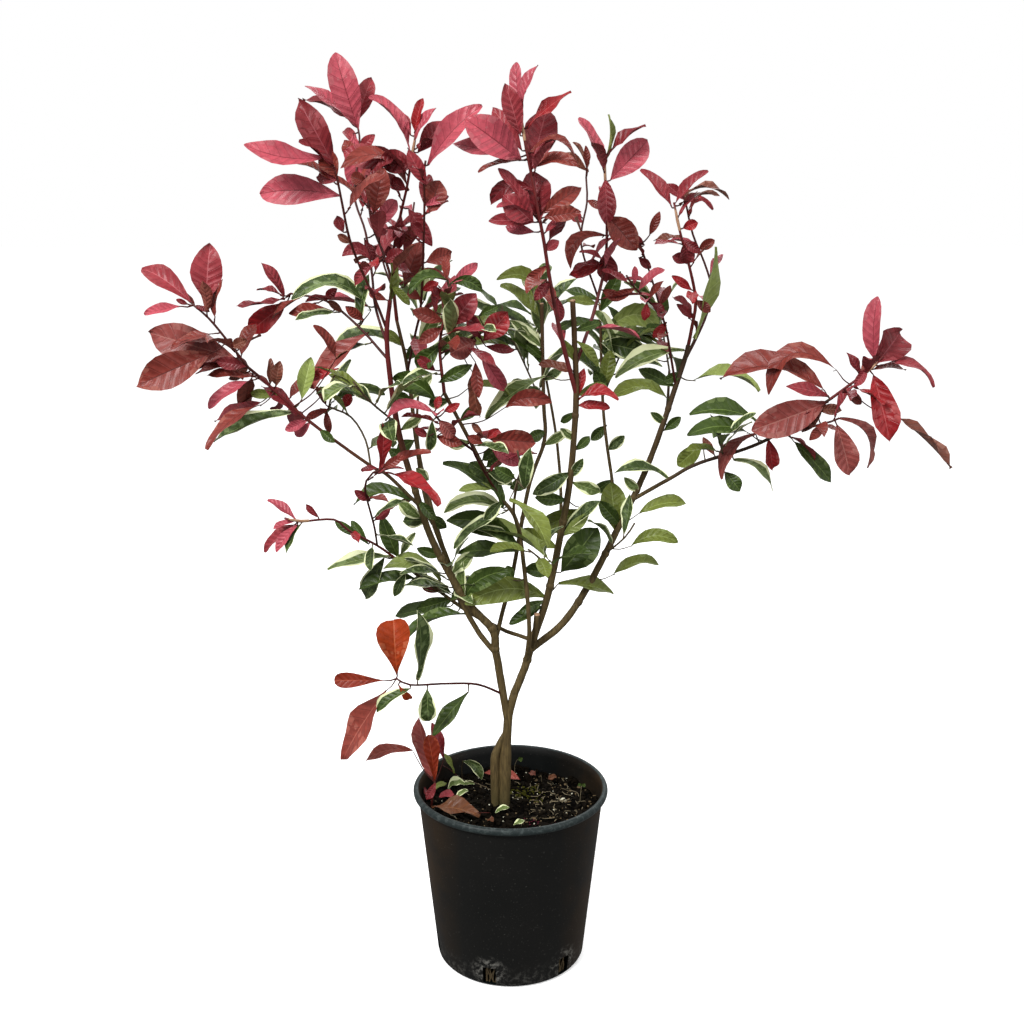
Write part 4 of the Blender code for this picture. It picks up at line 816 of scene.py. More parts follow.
BOUGH_LEAVES = {
    "long_left_bough": [
        (51, 89, 47, 46, 116, -20, 9, 0, "rust"), (63, 70, 49, 42, 204, 5, 11, 0, "bright"),
        (0, 12, 197, 58, 209, -10, 14, 0, "rose"), (29, 0, 180, 36, 180, 15, 11, 0, "olive"),
        (20, 5, 43, 32, 76, -15, 13, 0, "brown"), (15, 0, 86, 32, 86, 10, 8, 0, "brown"),
        (62, 3, 237, 54, 135, -5, 12, 0, "deep"), (20, 26, 225, 71, 202, 20, 12, 0, "wine"),
        (53, 6, 229, 100, 197, 0, 17, -1, "cream"), (23, 21, 227, 83, 217, -20, 14, -2, "rust"),
        (53, 14, 49, 50, 76, 5, 18, 0, "light"), (74, 0, 203, 29, 203, -10, 11, 0, "rose"),
        (78, 0, 224, 28, 224, 15, 11, 0, "rose"), (92, 0, 321, 24, 321, -15, 10, 0, "green"),
    ],
    "low_left_bough": [
        (0, 6, 157, 83, 188, -5, 14, 0, "pale"), (0, 15, 183, 79, 244, 20, 23, 0, "cream"),
        (0, 11, 169, 47, 188, 0, 9, 0, "cream"), (71, 15, 56, 81, 160, -20, 14, -14, "light"),
        (70, 0, 136, 59, 136, 5, 9, 0, "green"), (45, 3, 228, 78, 182, -10, 12, 0, "green"),
        (78, 2, 249, 25, 142, 15, 19, 0, "dusty"), (4, 3, 49, 63, 108, -15, 20, 0, "green"),
        (5, 6, 54, 36, 59, 10, 10, 0, "pale"), (101, 4, 62, 51, 196, -5, 20, 0, "green"),
        (104, 9, 236, 87, 195, 20, 15, 0, "green"), (115, 10, 238, 41, 190, 0, 8, 0, "green"),
        (25, 7, 228, 34, 244, -20, 13, 0, "cream"),
    ],
    "left_bough": [
        (252, 9, 197, 72, 184, 5, 13, -9, "green"), (279, 4, 192, 35, 140, -10, 16, 0, "pale"),
        (252, 9, 201, 41, 199, 15, 8, 0, "brown"), (255, 0, 315, 33, 315, -15, 12, 0, "green"),
        (285, 5, 20, 34, 185, 10, 16, 0, "cream"), (338, 3, 27, 34, 161, -5, 13, 0, "green"),
        (366, 0, 44, 41, 44, 20, 17, 0, "pale"), (403, 0, 94, 48, 94, 0, 13, 0, "pale"),
        (403, 0, 37, 80, 37, -20, 25, 12, "green"), (173, 2, 23, 27, 154, 5, 12, 0, "cream"),
        (200, 0, 142, 26, 142, -10, 13, 0, "green"), (160, 2, 10, 32, 31, 15, 11, 0, "pale"),
    ],
    "left_back_bough": [
        (37, 20, 16, 63, 60, -15, 19, 0, "pale"), (33, 0, 182, 93, 182, 10, 14, -12, "cream"),
        (390, 0, 201, 92, 201, -5, 7, -5, "green"), (365, 16, 205, 35, 45, 20, 16, 0, "green"),
        (249, 5, 200, 31, 326, 0, 15, 0, "green"), (188, 5, 184, 22, 318, -20, 13, 0, "pale"),
        (152, 2, 186, 27, 210, 5, 15, 0, "green"), (101, 0, 165, 22, 165, -10, 14, 0, "green"),
        (101, 0, 51, 42, 51, 15, 13, 0, "pale"), (50, 0, 47, 33, 47, -15, 14, 0, "green"),
        (33, 0, 137, 29, 137, 10, 11, 0, "olive"),
    ],
    "middle_left_bough": [
        (47, 57, 22, 56, 7, -5, 20, 9, "rust"), (9, 29, 25, 53, 353, 20, 7, 0, "olive"),
        (156, 0, 146, 82, 146, 0, 14, 0, "green"), (144, 3, 45, 49, 178, -20, 9, 0, "light"),
        (176, 5, 216, 79, 179, 5, 16, -11, "pale"), (176, 8, 218, 77, 208, -10, 11, 0, "cream"),
        (125, 3, 19, 32, 150, 15, 16, 0, "green"), (101, 3, 20, 28, 44, -15, 13, 0, "green"),
        (72, 0, 195, 28, 195, 10, 13, 0, "pale"), (42, 0, 39, 33, 39, -5, 12, 0, "green"),
        (12, 2, 25, 29, 193, 20, 14, 0, "cream"), (137, 4, 23, 26, 28, 0, 12, 0, "pale"),
        (111, 4, 31, 30, 34, -20, 13, 0, "green"), (229, 4, 196, 96, 162, 5, 29, -13, "green"),
        (234, 0, 152, 69, 152, -10, 11, 0, "cream"), (236, 7, 195, 82, 185, 15, 17, 0, "green"),
        (171, 6, 217, 58, 114, -15, 12, 0, "green"), (112, 0, 329, 43, 329, 10, 12, 0, "cream"),
        (161, 0, 228, 34, 228, -5, 14, 0, "cream"), (276, 17, 192, 20, 118, 20, 13, 0, "green"),
    ],
    "centre_bough": [
        (399, 0, 208, 53, 208, 0, 13, 0, "green"), (389, 0, 178, 107, 178, -20, 32, -17, "olive"),
        (349, 10, 345, 73, 51, 5, 42, 0, "green"), (338, 6, 164, 119, 152, -10, 9, -5, "light"),
        (317, 0, 157, 53, 157, 15, 20, 0, "olive"), (214, 0, 208, 55, 208, -15, 20, 0, "cream"),
        (227, 2, 356, 41, 339, 10, 16, 0, "pale"), (251, 0, 175, 40, 175, -5, 16, 0, "green"),
        (251, 31, 329, 70, 215, 30, 29, 0, "olive"), (292, 3, 346, 60, 40, 0, 14, 0, "cream"),
        (350, 0, 172, 38, 172, -20, 14, 0, "green"), (348, 0, 178, 36, 178, 5, 18, 0, "green"),
        (300, 3, 356, 45, 44, -10, 14, 0, "light"), (381, 18, 41, 80, 347, 15, 14, 0, "olive"),
        (222, 0, 60, 32, 60, -15, 12, 0, "cream"), (185, 3, 346, 25, 42, 10, 11, 0, "green"),
        (173, 3, 357, 25, 142, -5, 10, 0, "pale"), (137, 0, 218, 24, 218, 20, 9, 0, "green"),
        (129, 0, 359, 42, 359, 0, 11, 0, "bright"), (125, 0, 6, 54, 6, -20, 11, 11, "bright"),
        (119, 0, 75, 37, 75, 5, 11, 0, "bright"), (95, 38, 174, 89, 213, -10, 18, -4, "pale"),
        (88, 0, 166, 48, 166, 15, 11, 0, "brown"), (76, 0, 121, 36, 121, -15, 10, 0, "olive"),
        (48, 0, 313, 45, 313, 10, 11, 0, "olive"), (37, 0, 18, 33, 18, -5, 10, 0, "green"),
        (116, 0, 17, 42, 17, 20, 14, 0, "olive"), (25, 0, 207, 20, 207, 0, 10, 0, "green"),
        (392, 3, 163, 38, 200, -20, 13, 0, "green"),
    ],
    "back_bough": [
        (128, 0, 141, 30, 141, 5, 13, 0, "green"), (101, 0, 33, 31, 33, -10, 12, 0, "cream"),
        (81, 0, 136, 81, 136, 15, 19, 0, "green"), (59, 0, 137, 58, 137, -15, 15, 0, "pale"),
        (55, 0, 130, 40, 130, 10, 11, 0, "pale"), (72, 0, 139, 29, 139, -5, 12, 0, "green"),
        (24, 0, 139, 77, 139, 20, 16, 0, "olive"), (0, 3, 179, 64, 152, 0, 16, -20, "olive"),
        (168, 0, 205, 29, 205, -20, 15, 0, "green"), (188, 0, 30, 39, 30, 5, 13, 0, "pale"),
        (235, 0, 205, 31, 205, -10, 16, 0, "green"),
    ],
    "right_back_bough": [
        (22, 0, 192, 59, 192, 15, 11, 0, "green"), (1, 0, 171, 48, 171, -15, 12, 0, "olive"),
        (0, 6, 107, 48, 164, 10, 12, 0, "green"), (51, 0, 348, 64, 348, -5, 30, 0, "cream"),
        (51, 0, 2, 96, 2, 20, 30, 34, "light"), (114, 3, 8, 52, 82, 0, 20, 0, "olive"),
        (116, 3, 1, 34, 117, -20, 16, 0, "green"), (164, 3, 360, 30, 225, 5, 14, 0, "green"),
        (199, 0, 43, 30, 43, -10, 14, 0, "cream"), (35, 0, 21, 31, 21, 15, 15, 0, "olive"),
        (10, 0, 65, 62, 65, -15, 19, 0, "green"), (241, 0, 219, 30, 219, 10, 14, 0, "green"),
    ],
    "right_bough": [
        (8, 4, 157, 95, 201, -5, 21, -5, "pale"), (55, 0, 156, 54, 156, 20, 17, 0, "green"),
        (35, 3, 345, 28, 207, 0, 12, 0, "green"), (76, 0, 172, 83, 172, -20, 15, -13, "olive"),
        (41, 19, 342, 90, 354, 5, 13, 7, "light"), (9, 20, 65, 118, 77, -10, 18, 3, "light"),
        (258, 0, 96, 65, 96, 15, 33, 0, "olive"), (247, 0, 130, 47, 130, -15, 18, 0, "green"),
        (244, 26, 25, 66, 12, 10, 15, 4, "olive"), (281, 29, 6, 61, 8, -5, 16, 10, "olive"),
        (327, 29, 5, 70, 12, 20, 12, 4, "olive"), (105, 5, 345, 26, 143, 0, 10, 0, "cream"),
        (198, 3, 330, 30, 133, -20, 12, 0, "pale"), (113, 4, 336, 28, 39, 5, 12, 0, "green"),
    ],
    "long_right_bough": [
        (0, 4, 128, 55, 163, -10, 15, 0, "wine"), (0, 13, 124, 127, 174, 15, 25, -18, "rust"),
        (228, 0, 167, 75, 167, -15, 11, -7, "cream"), (175, 23, 99, 44, 226, 10, 22, 0, "olive"),
        (90, 28, 127, 85, 171, -5, 19, -8, "green"), (162, 3, 99, 28, 124, 20, 9, 0, "brown"),
        (103, 13, 116, 71, 231, 0, 13, -10, "dusty"), (97, 25, 151, 83, 174, -20, 19, -7, "green"),
        (140, 9, 286, 69, 328, 5, 12, 8, "pale"), (157, 20, 291, 32, 311, -10, 18, 0, "green"),
        (91, 0, 283, 44, 283, 15, 17, 0, "bright"), (85, 0, 129, 29, 129, -15, 13, 0, "rust"),
        (64, 20, 299, 80, 315, 10, 21, 0, "green"), (4, 2, 304, 99, 200, -5, 41, 0, "dusty"),
        (28, 5, 123, 59, 214, 20, 18, 0, "rose"), (9, 0, 236, 44, 236, 0, 13, 0, "brown"),
        (19, 7, 306, 32, 196, -20, 11, 0, "deep"),
    ],
}

TINTS = {
    "wine": ((0.265, 0.028, 0.036), (0.300, 0.052, 0.058), (0.38, 0.085, 0.095)),
    "rose": ((0.430, 0.068, 0.092), (0.450, 0.105, 0.125), (0.20, 0.020, 0.030)),
    "deep": ((0.165, 0.013, 0.017), (0.225, 0.032, 0.038), (0.24, 0.040, 0.050)),
    "bright": ((0.290, 0.011, 0.014), (0.340, 0.050, 0.050), (0.42, 0.075, 0.075)),
    "rust": ((0.205, 0.030, 0.021), (0.265, 0.070, 0.050), (0.10, 0.014, 0.010)),
    "brown": ((0.155, 0.042, 0.024), (0.240, 0.100, 0.070), (0.27, 0.120, 0.080)),
    "dusty": ((0.250, 0.050, 0.042), (0.300, 0.095, 0.080), (0.34, 0.120, 0.100)),
    "orange": ((0.330, 0.036, 0.003), (0.400, 0.085, 0.030), (0.42, 0.090, 0.025)),
    "coral": ((0.200, 0.018, 0.004), (0.300, 0.046, 0.015), (0.36, 0.060, 0.020)),
    "salmon": ((0.280, 0.048, 0.032), (0.400, 0.105, 0.075), (0.44, 0.120, 0.085)),
    "dead": ((0.105, 0.032, 0.009), (0.120, 0.048, 0.018), (0.17, 0.070, 0.024)),
    "cream": ((0.036, 0.062, 0.010), (0.125, 0.165, 0.055), (0.17, 0.23, 0.075)),
    "green": ((0.040, 0.070, 0.008), (0.110, 0.155, 0.040), (0.14, 0.20, 0.046)),
    "olive": ((0.135, 0.165, 0.024), (0.190, 0.235, 0.062), (0.25, 0.31, 0.085)),
    "light": ((0.250, 0.310, 0.075), (0.290, 0.350, 0.115), (0.40, 0.47, 0.165)),
    "pale": ((0.098, 0.145, 0.030), (0.205, 0.265, 0.095), (0.29, 0.36, 0.125)),
}
SMOOTH = ("orange", "coral", "green", "cream")
GREENS = ("cream", "green", "olive", "light", "pale")
CREAM_EDGE = (0.76, 0.79, 0.47)
VEINS = 8.0
VEIN_SLOPE = 1.1

leaf_finishes = {}
for tint, (upper, under, rib) in TINTS.items():
    for part_name, colour, rough in (("upper", upper, 0.38), ("under", under, 0.60), ("rib", rib, 0.5)):
        finish = Finish("%s_leaf_%s" % (tint, part_name), colour, rough, specular_ior_level=0.28)
        cloud = finish.noise(170.0, 4.0, 0.7) * 0.6 + finish.noise(14.0, 2.0, 0.5) * 0.4
        low = tuple(c * 0.50 for c in colour)
        high = tuple(min(1.0, c * 1.40 + 0.004) for c in colour)
        tone = finish.blend(((cloud - 0.5) * 1.7 + 0.5).clamp(), low, high)
        if part_name != "rib":
            spot = finish.node("ShaderNodeUVMap", {"uv_map": "blade"})
            across = finish.node("ShaderNodeSeparateXYZ", {}, spot, out="X")
            along = finish.node("ShaderNodeSeparateXYZ", {}, spot, out="Y")
            from_rib = finish.node("ShaderNodeMath", {"operation": "ABSOLUTE"}, across - 0.5)
            ripple = finish.node("ShaderNodeMath", {"operation": "SINE"},
                                 (along * VEINS - from_rib * (2 * VEIN_SLOPE)) * math.tau)
            vein = ((ripple - 0.88) * 8.0).clamp()
            if tint in ("cream", "pale"):
                fleck = finish.noise(75.0, 2.0, 0.7)
                tone = finish.blend(((fleck - 0.54) * 9.0).clamp() * 0.5, tone, (0.24, 0.32, 0.13))
            ridge = rib if tint in GREENS else low
            tone = finish.blend(vein * (0.16 if tint in SMOOTH else 0.4), tone, ridge)
            finish.bump(ripple * 0.5 - vein * 0.6 + cloud, 0.0013, 0.5 if part_name == "upper" else 0.4)
        finish.put("Base Color", tone)
        finish.put("Roughness", rough - 0.06 + cloud * 0.14)
        leaf_finishes[tint, part_name] = finish
edge_finish = Finish("cream_leaf_edge", CREAM_EDGE, 0.5)
cloud = edge_finish.noise(90.0, 3.0)
edge_finish.put("Base Color", edge_finish.blend(cloud, (0.60, 0.66, 0.30), (0.84, 0.86, 0.58)))

young_finish = Finish("red_young_stems", (0.05, 0.006, 0.004), 0.5, specular_ior_level=0.25)
cloud = young_finish.noise(70.0, 3.0)
young_finish.put("Base Color", young_finish.blend(cloud, (0.024, 0.003, 0.002), (0.082, 0.011, 0.008)))
stout_finish = Finish("wine_shoot_bark", (0.12, 0.015, 0.012), 0.45, specular_ior_level=0.35)
cloud = stout_finish.noise(90.0, 3.0)
stout_finish.put("Base Color", stout_finish.blend(cloud, (0.050, 0.005, 0.006), (0.205, 0.024, 0.022)))
tip_finish = Finish("pale_shoot_tips", (0.40, 0.20, 0.12), 0.5, specular_ior_level=0.25)
cloud = tip_finish.noise(160.0, 3.0)
tip_finish.put("Base Color", tip_finish.blend(cloud, (0.240, 0.095, 0.060), (0.540, 0.360, 0.210)))
twig_finish = Finish("brown_twigs", (0.05, 0.03, 0.02), 0.65, specular_ior_level=0.25)
cloud = twig_finish.noise(70.0, 3.0)
twig_finish.put("Base Color", twig_finish.blend(cloud, (0.034, 0.024, 0.012), (0.120, 0.086, 0.044)))

ROWS = 12
RIB = 0.035
MIDDLE = 0.55
LEAST_SHAPE = 0.30
SKIN = 0.00035
CRUMPLED = ("bright", "deep", "brown", "dead")
sheets = {}


def add_leaf(tint, base, way, face, blade, width, bow, dice):
    """One blade: two skins on a bowed midrib, folded along it, pointed at both ends.

    It is as wide as it shows from the face side. A leaf that shows narrow is turned about its midrib.
    """
    left = face.cross(way).normalized()
    face = way.cross(left)
    fold = math.radians(dice.uniform(12, 34))
    full = max(width, LEAST_SHAPE * blade)
    turn = math.acos(min(1.0, width / full))
    if left.z < -0.25 or (abs(left.z) <= 0.25 and dice.random() < 0.5):
        turn = -turn
    normal = face * math.cos(turn) + left * math.sin(turn)
    rows = (1.0 - np.cos(np.linspace(0.0, math.pi, ROWS + 1))) / 2
    hump = 4 * rows * (1 - rows)
    arch = blade * dice.uniform(0.01, 0.08)
    curl = blade * dice.uniform(-0.02, 0.14)
    spine = (np.array(base) + np.outer(rows * blade, way) + np.outer(hump * bow, left)
             + np.outer(hump * arch - rows ** 3 * curl, normal))
    tangent = np.gradient(spine, axis=0)
    tangent /= np.linalg.norm(tangent, axis=1)[:, None]
    side = np.cross(tangent, np.array(normal))
    side /= np.linalg.norm(side, axis=1)[:, None]
    up = np.cross(side, tangent)
    if tint in ("orange", "coral"):
        profile = rows ** 1.6 * (1 - rows) ** 0.5
    elif tint in ("dusty", "rose", "olive"):
        profile = rows ** 1.2 * (1 - rows) ** 0.82
    else:
        profile = rows ** 1.3 * (1 - rows) ** 1.0
    half = profile / profile.max() * full / 2 + 0.0005
    columns = np.array([-1.0, -MIDDLE, -RIB, RIB, MIDDLE, 1.0])[None, :].repeat(ROWS + 1, 0)
    if tint in ("cream", "pale"):
        least = 0.62 if tint == "cream" else 0.34
        wander = np.array([dice.uniform(least, 1.0) for _ in range(2 * (ROWS + 1))]).reshape(ROWS + 1, 2)
        wander = np.minimum(0.985, wander * 0.65 + np.roll(wander, 1, 0) * 0.35)
        columns[:, 1], columns[:, 4] = -wander[:, 0], wander[:, 1]
    lateral = columns * half[:, None]
    phase = dice.uniform(0, 6.0)
    waves = 0.30 if tint in CRUMPLED else 0.16
    ripple = waves * half.max() * np.sin(rows * 11.0 + phase)[:, None] * columns * abs(columns)
    rise = abs(lateral) * math.tan(fold) + ripple
    grid = spine[:, None] + lateral[..., None] * side[:, None] + rise[..., None] * up[:, None]
    lower = grid - SKIN * up[:, None]
    lower[:, 0], lower[:, -1] = grid[:, 0], grid[:, -1]
    store = sheets.setdefault(tint, {"verts": [], "faces": [], "slots": [], "spots": [], "count": 0})
    count = grid.shape[0] * columns.shape[1]
    index = np.arange(count).reshape(columns.shape)
    quads = np.stack([index[:-1, :-1], index[:-1, 1:], index[1:, 1:], index[1:, :-1]], -1).reshape(-1, 4)
    upper_slots = np.zeros((ROWS, 5), int)
    under_slots = np.ones((ROWS, 5), int)
    upper_slots[:, 2] = under_slots[:, 2] = 2
    if tint in ("cream", "pale"):
        upper_slots[:, 0] = upper_slots[:, 4] = under_slots[:, 0] = under_slots[:, 4] = 3
    spots = np.stack([columns / 2 + 0.5, rows[:, None].repeat(6, 1)], -1).reshape(-1, 2)
    store["verts"] += [grid.reshape(-1, 3), lower.reshape(-1, 3)]
    store["spots"] += [spots[quads].reshape(-1, 2), spots[quads[:, ::-1]].reshape(-1, 2)]
    store["faces"] += [quads + store["count"], quads[:, ::-1] + store["count"] + count]
    store["slots"] += [upper_slots.ravel(), under_slots.ravel()]
    store["count"] += 2 * count


young_mesh = bmesh.new()
stout_mesh = bmesh.new()
tip_mesh = bmesh.new()
twig_mesh = bmesh.new()
FRONT = Vector((0.0, -1.0, 0.12))
SKYWARD = Vector((0.0, -0.35, 1.0))
SPIRAL = math.radians(144.0)
PETIOLE_RATIO = 0.12
WIDTH_RATIO = 0.36


def petiole(root, base, way, tint):
    """The curved stalk of a leaf, which runs on into its midrib."""
    bm = twig_mesh if tint in GREENS else young_mesh
    length = (base - root).length
    thick = 0.0009 if length < 0.02 else 0.00075
    low = root.lerp(base, 0.5) - Vector((0.0, 0.0, 0.10 * length))
    path = smooth_path([root, low, base, base + way * 0.004], 0.006)
    sweep(bm, path, tapered(path, [thick * 1.3, thick, thick * 0.7]), 5)


def clock_way(clock, lean):
    """The direction of a hand of a clock seen from the front, leaning back from it."""
    clock, lean = math.radians(clock), math.radians(lean)
    return Vector((math.cos(clock) * math.cos(lean), math.sin(lean), math.sin(clock) * math.cos(lean)))


def measured_leaves(path, rows, dice):
    """The leaves that show from the front, each from its own line."""
    back_path = path[::-1]
    spans = [0.0]
    for a, b in zip(back_path, back_path[1:]):
        spans.append(spans[-1] + (b - a).length)
    for back, stalk, stalk_clock, blade, clock, lean, width, bow, tint in rows:
        root = Vector([np.interp(back * MM, spans, [p[k] for p in back_path]) for k in range(3)])
        base = root + clock_way(stalk_clock, lean) * stalk * MM
        way = clock_way(clock, lean)
        if stalk > 1:
            petiole(root, base, way, tint)
        add_leaf(tint, base, way, FRONT, blade * MM, width * MM, bow * MM, dice)
        for part in (0.15, 0.5, 0.85):
            seen.append((*from_front(base + way * blade * part * MM), (max(width / 2, 7) + MARGIN) * MM))


TRIES = 12
MARGIN = 3.0
seen = []


def from_front(spot):
    """Where a place shows from the front, on the upright plane through the trunk."""
    share = CAMERA_DISTANCE / (spot.y + CAMERA_DISTANCE)
    return spot.x * share, CAMERA_HEIGHT + (spot.z - CAMERA_HEIGHT) * share


def stays_behind(spots):
    """Whether all these places show among the measured leaves, so that the gaps stay open."""
    discs = np.array(seen)
    return all(np.any(np.hypot(*(discs[:, :2] - from_front(spot)).T) < discs[:, 2]) for spot in spots)


def spiral_leaves(path, count, longest, shortest, mix, dice):
    """The leaves that fill a shoot, set in a spiral, shorter towards its tip, clear of the gaps."""
    start = dice.uniform(0, math.tau)
    for i in range(count):
        share = 0.12 + 0.86 * (i + 0.5) / count
        place = share * (len(path) - 1)
        a, b = path[int(place)], path[int(place) + 1]
        root = a.lerp(b, place - int(place))
        along = (b - a).normalized()
        side = along.orthogonal().normalized()
        spread = math.radians(72 - 34 * share + dice.uniform(-8, 8))
        full = (longest + (shortest - longest) * share) * dice.uniform(0.85, 1.1) * MM
        tint = dice.choices([t for t, w in mix], [w for t, w in mix])[0]
        for attempt in range(TRIES):
            size = full * (1.0 - 0.4 * attempt / TRIES)
            spin = SPIRAL * i + dice.uniform(-0.3, 0.3) + start + attempt * SPIRAL * 0.75
            out = side * math.cos(spin) + along.cross(side) * math.sin(spin)
            way = (along * math.cos(spread) + out * math.sin(spread) + Vector((0, 0, -0.15))).normalized()
            base = root + way * size * PETIOLE_RATIO
            if stays_behind([base + way * size * part for part in (0.3, 0.65, 1.0)]):
                petiole(root, base, way, tint)
                add_leaf(tint, base, way, SKYWARD, size, size * dice.uniform(0.75, 1.05) * WIDTH_RATIO,
                         size * dice.uniform(-0.04, 0.04), dice)
                break


STOUT = {"centre_foliage": 3.0, "centre_right_foliage": 2.4, "right_red_foliage": 2.4,
         "left_tip_foliage": 1.7, "upper_middle_foliage": 2.4, "middle_foliage": 2.2,
         "right_far_foliage": 2.0}

for name in ("centre_bough", "back_bough", "right_back_bough", "stub"):
    bough, radii = limbs[name]
    end = (bough[-1] - bough[-2]).normalized() * 0.0012
    sweep(tip_mesh, [bough[-1] - end, bough[-1], bough[-1] + end * 0.5],
          [radii[-1] * 1.06, radii[-1] * 1.06, radii[-1] * 0.7], 12, 0.1)
fills = []
for order, (name, (parent, mix, shoots)) in enumerate(FOLIAGE.items()):
    own = {}
    for number, (height, points, count, longest, shortest, rows) in enumerate(shoots):
        source = limbs[parent] if number == 0 else own[0]
        start = at_height(*source, height * MM)[0]
        path = smooth_path([start, *[Vector(p) * MM for p in points]], 0.012)
        foot = STOUT.get(name, 1.3 if mix is GREEN else 1.7) if number == 0 else 1.4
        radii = tapered(path, [foot * MM, (0.0011 + foot * 0.0001)])
        own[number] = (path, radii)
        dice = random.Random(17 * order + number)
        if number == 0 and name in STOUT:
            sweep(stout_mesh, path, radii, 9, 0.12, order)
            sweep(tip_mesh, path[-4:], tapered(path[-4:], [0.0018, 0.0019, 0.0016, 0.0010]), 7, 0.15, order)
        else:
            sweep(twig_mesh if mix is GREEN else young_mesh, path, radii, 7, 0.12, order + number * 0.5)
        measured_leaves(path, rows, dice)
        fills.append((path, count, longest, shortest, mix, dice))
for order, (name, rows) in enumerate(BOUGH_LEAVES.items()):
    measured_leaves(limbs[name][0], rows, random.Random(900 + order))
for fill in fills:
    spiral_leaves(*fill)


# What lies in the pot: fallen leaves, each from the place of its base and tip, width, bow and tint;
# a snapped shoot that still holds a green leaf; two seedlings; straw; and roots in the drain slots.
FALLEN = [
    ((-105, -18, 217), (-42, -42, 223), 27, 0, "dead"), ((-97, 7, 220), (-76, 9, 222), 13, 0, "wine"),
    ((-85, 24, 224), (-63, 31, 229), 15, 4, "pale"), ((-75, 8, 218), (-58, 24, 222), 8, 0, "pale"),
    ((-68, 46, 219), (-50, 52, 219), 8, 0, "pale"), ((-110, 22, 221), (-88, 38, 227), 9, 0, "olive"),
    ((-38, 88, 217), (13, 72, 219), 16, 0, "salmon"), ((4, -66, 217), (18, -55, 219), 8, 0, "pale"),
    ((-20, -33, 217), (-1, -23, 220), 8, 2, "pale"), ((-66, 55, 250), (-41, 45, 227), 13, 9, "cream"),
    ((-78, 55, 232), (-93, 55, 264), 4, 0, "olive"), ((10, 95, 234), (17, 94, 237), 6, 0, "green"),
    ((95, 15, 232), (92, 15, 236), 4, 0, "green"), ((96, 15, 232), (101, 14, 236), 5, 0, "green"),
    ((52, 64, 218), (64, 70, 221), 9, 0, "dead"), ((26, 86, 218), (34, 74, 220), 9, 0, "brown"),
    ((-30, -50, 217), (-22, -58, 219), 8, 0, "dead"), ((-114, 4, 219), (-118, 24, 226), 5, 0, "deep"),
]
STALKS = [
    ([(-69, 70, 214), (-80, 63, 230), (-94, 55, 244)], 0.9, "wine"),
    ([(-68, 73, 214), (-68, 62, 236), (-66, 55, 251)], 0.8, "cream"),
    ([(-69, 58, 222), (-44, 40, 223), (-15, 22, 217)], 0.7, "cream"),
    ([(-43, -42, 222), (-36, -36, 219), (-27, -32, 217)], 0.8, "wine"),
    ([(6, 95, 212), (6, 95, 226), (10, 95, 235)], 0.5, "straw"),
    ([(94, 10, 212), (95, 13, 224), (96, 15, 233)], 0.5, "straw"),
    ([(43, 66, 214), (43, 64, 222), (42, 62, 226)], 0.8, "straw"),
]
STRAWS = 80

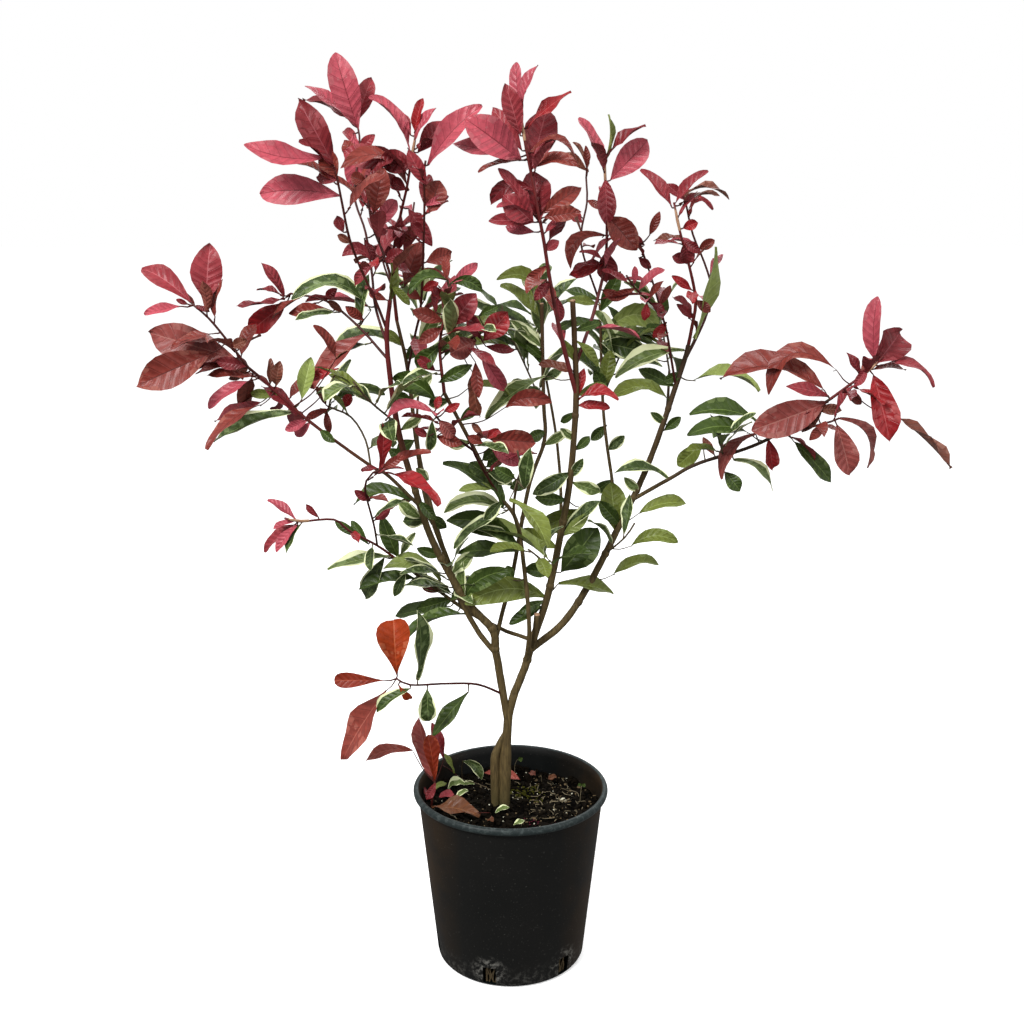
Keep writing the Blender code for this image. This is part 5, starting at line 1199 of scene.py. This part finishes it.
straw_finish = Finish("straw", (0.22, 0.17, 0.09), 0.85, specular_ior_level=0.2)
straw_finish.put("Base Color", straw_finish.blend(straw_finish.noise(40.0), (0.030, 0.022, 0.013),
                                                  (0.250, 0.205, 0.125)))
straw_mesh = bmesh.new()
dice = random.Random(5)
for base, tip, width, bow, tint in FALLEN:
    base, tip = Vector(base) * MM, Vector(tip) * MM
    way = (tip - base).normalized()
    add_leaf(tint, base, way, FRONT if abs(way.z) > 0.35 else SKYWARD, (tip - base).length, width * MM,
             bow * MM, dice)
for points, thick, tint in STALKS:
    path = smooth_path([Vector(p) * MM for p in points], 0.006)
    mesh = straw_mesh if tint == "straw" else twig_mesh if tint in GREENS else young_mesh
    sweep(mesh, path, tapered(path, [thick * MM, thick * 0.7 * MM]), 5)
for number in range(STRAWS):
    x, y = (dice.gauss(0.062, 0.024), dice.gauss(0.012, 0.034)) if number % 4 else (
        dice.uniform(-0.08, 0.08), dice.uniform(-0.08, 0.08))
    if math.hypot(x, y) > 0.104:
        continue
    turn, reach = dice.uniform(0, math.tau), dice.uniform(0.003, 0.010)
    step = Vector((math.cos(turn), math.sin(turn), dice.uniform(-0.15, 0.25))) * reach
    middle = Vector((x, y, soil_height(x, y) + 0.002))
    bend = Vector((-step.y, step.x, 0.0)) * dice.uniform(-0.6, 0.6)
    path = smooth_path([middle - step, middle + bend, middle + step], 0.004)
    sweep(straw_mesh, path, [dice.uniform(0.0003, 0.0008)] * len(path), 4)
for azimuth in (SLOT_FIRST_AZIMUTH, SLOT_FIRST_AZIMUTH + math.tau / SLOT_COUNT):
    for number in range(7):
        turn = azimuth + (number - 3) * 0.024 + dice.uniform(-0.01, 0.01)
        root_path = [Vector((math.cos(turn + dice.uniform(-0.03, 0.03)), math.sin(turn), 0.0))
                     * (BASE_RADIUS - 0.006) + Vector((0.0, 0.0, z)) for z in (0.003, 0.012, 0.022, 0.031)]
        path = smooth_path(root_path, 0.004)
        sweep(twig_mesh, path, [dice.uniform(0.0006, 0.0013)] * len(path), 5)
bmesh.ops.recalc_face_normals(straw_mesh, faces=straw_mesh.faces)
piece_from(straw_mesh, "straw", straw_finish, "soil")

# The leaves and shoots are now gathered into one piece for each tint or bark.
for bm in (young_mesh, stout_mesh, tip_mesh, twig_mesh):
    bmesh.ops.recalc_face_normals(bm, faces=bm.faces)
piece_from(young_mesh, "red_shoots", young_finish, "bark")
piece_from(stout_mesh, "wine_shoots", stout_finish, "bark")
piece_from(tip_mesh, "shoot_tips", tip_finish, "bark")
piece_from(twig_mesh, "brown_twigs", twig_finish, "bark")

for tint, store in sheets.items():
    mesh = bpy.data.meshes.new(tint + "_leaves")
    mesh.from_pydata(np.concatenate(store["verts"]).tolist(), [], np.concatenate(store["faces"]).tolist())
    spots = mesh.uv_layers.new(name="blade")
    spots.uv.foreach_set("vector", np.concatenate(store["spots"]).astype(np.float32).ravel())
    for part_name in ("upper", "under", "rib"):
        mesh.materials.append(leaf_finishes[tint, part_name].material)
    mesh.materials.append(edge_finish.material)
    mesh.polygons.foreach_set("material_index", np.concatenate(store["slots"]).astype(np.int32))
    mesh.update()
    mesh.shade_smooth()
    leaves = bpy.data.objects.new(tint + "_leaves", mesh)
    bpy.context.scene.collection.objects.link(leaves)
    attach(leaves, "root")
    "green_leaves" if tint in GREENS else "red_leaves"
    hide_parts(*FOLIAGE)
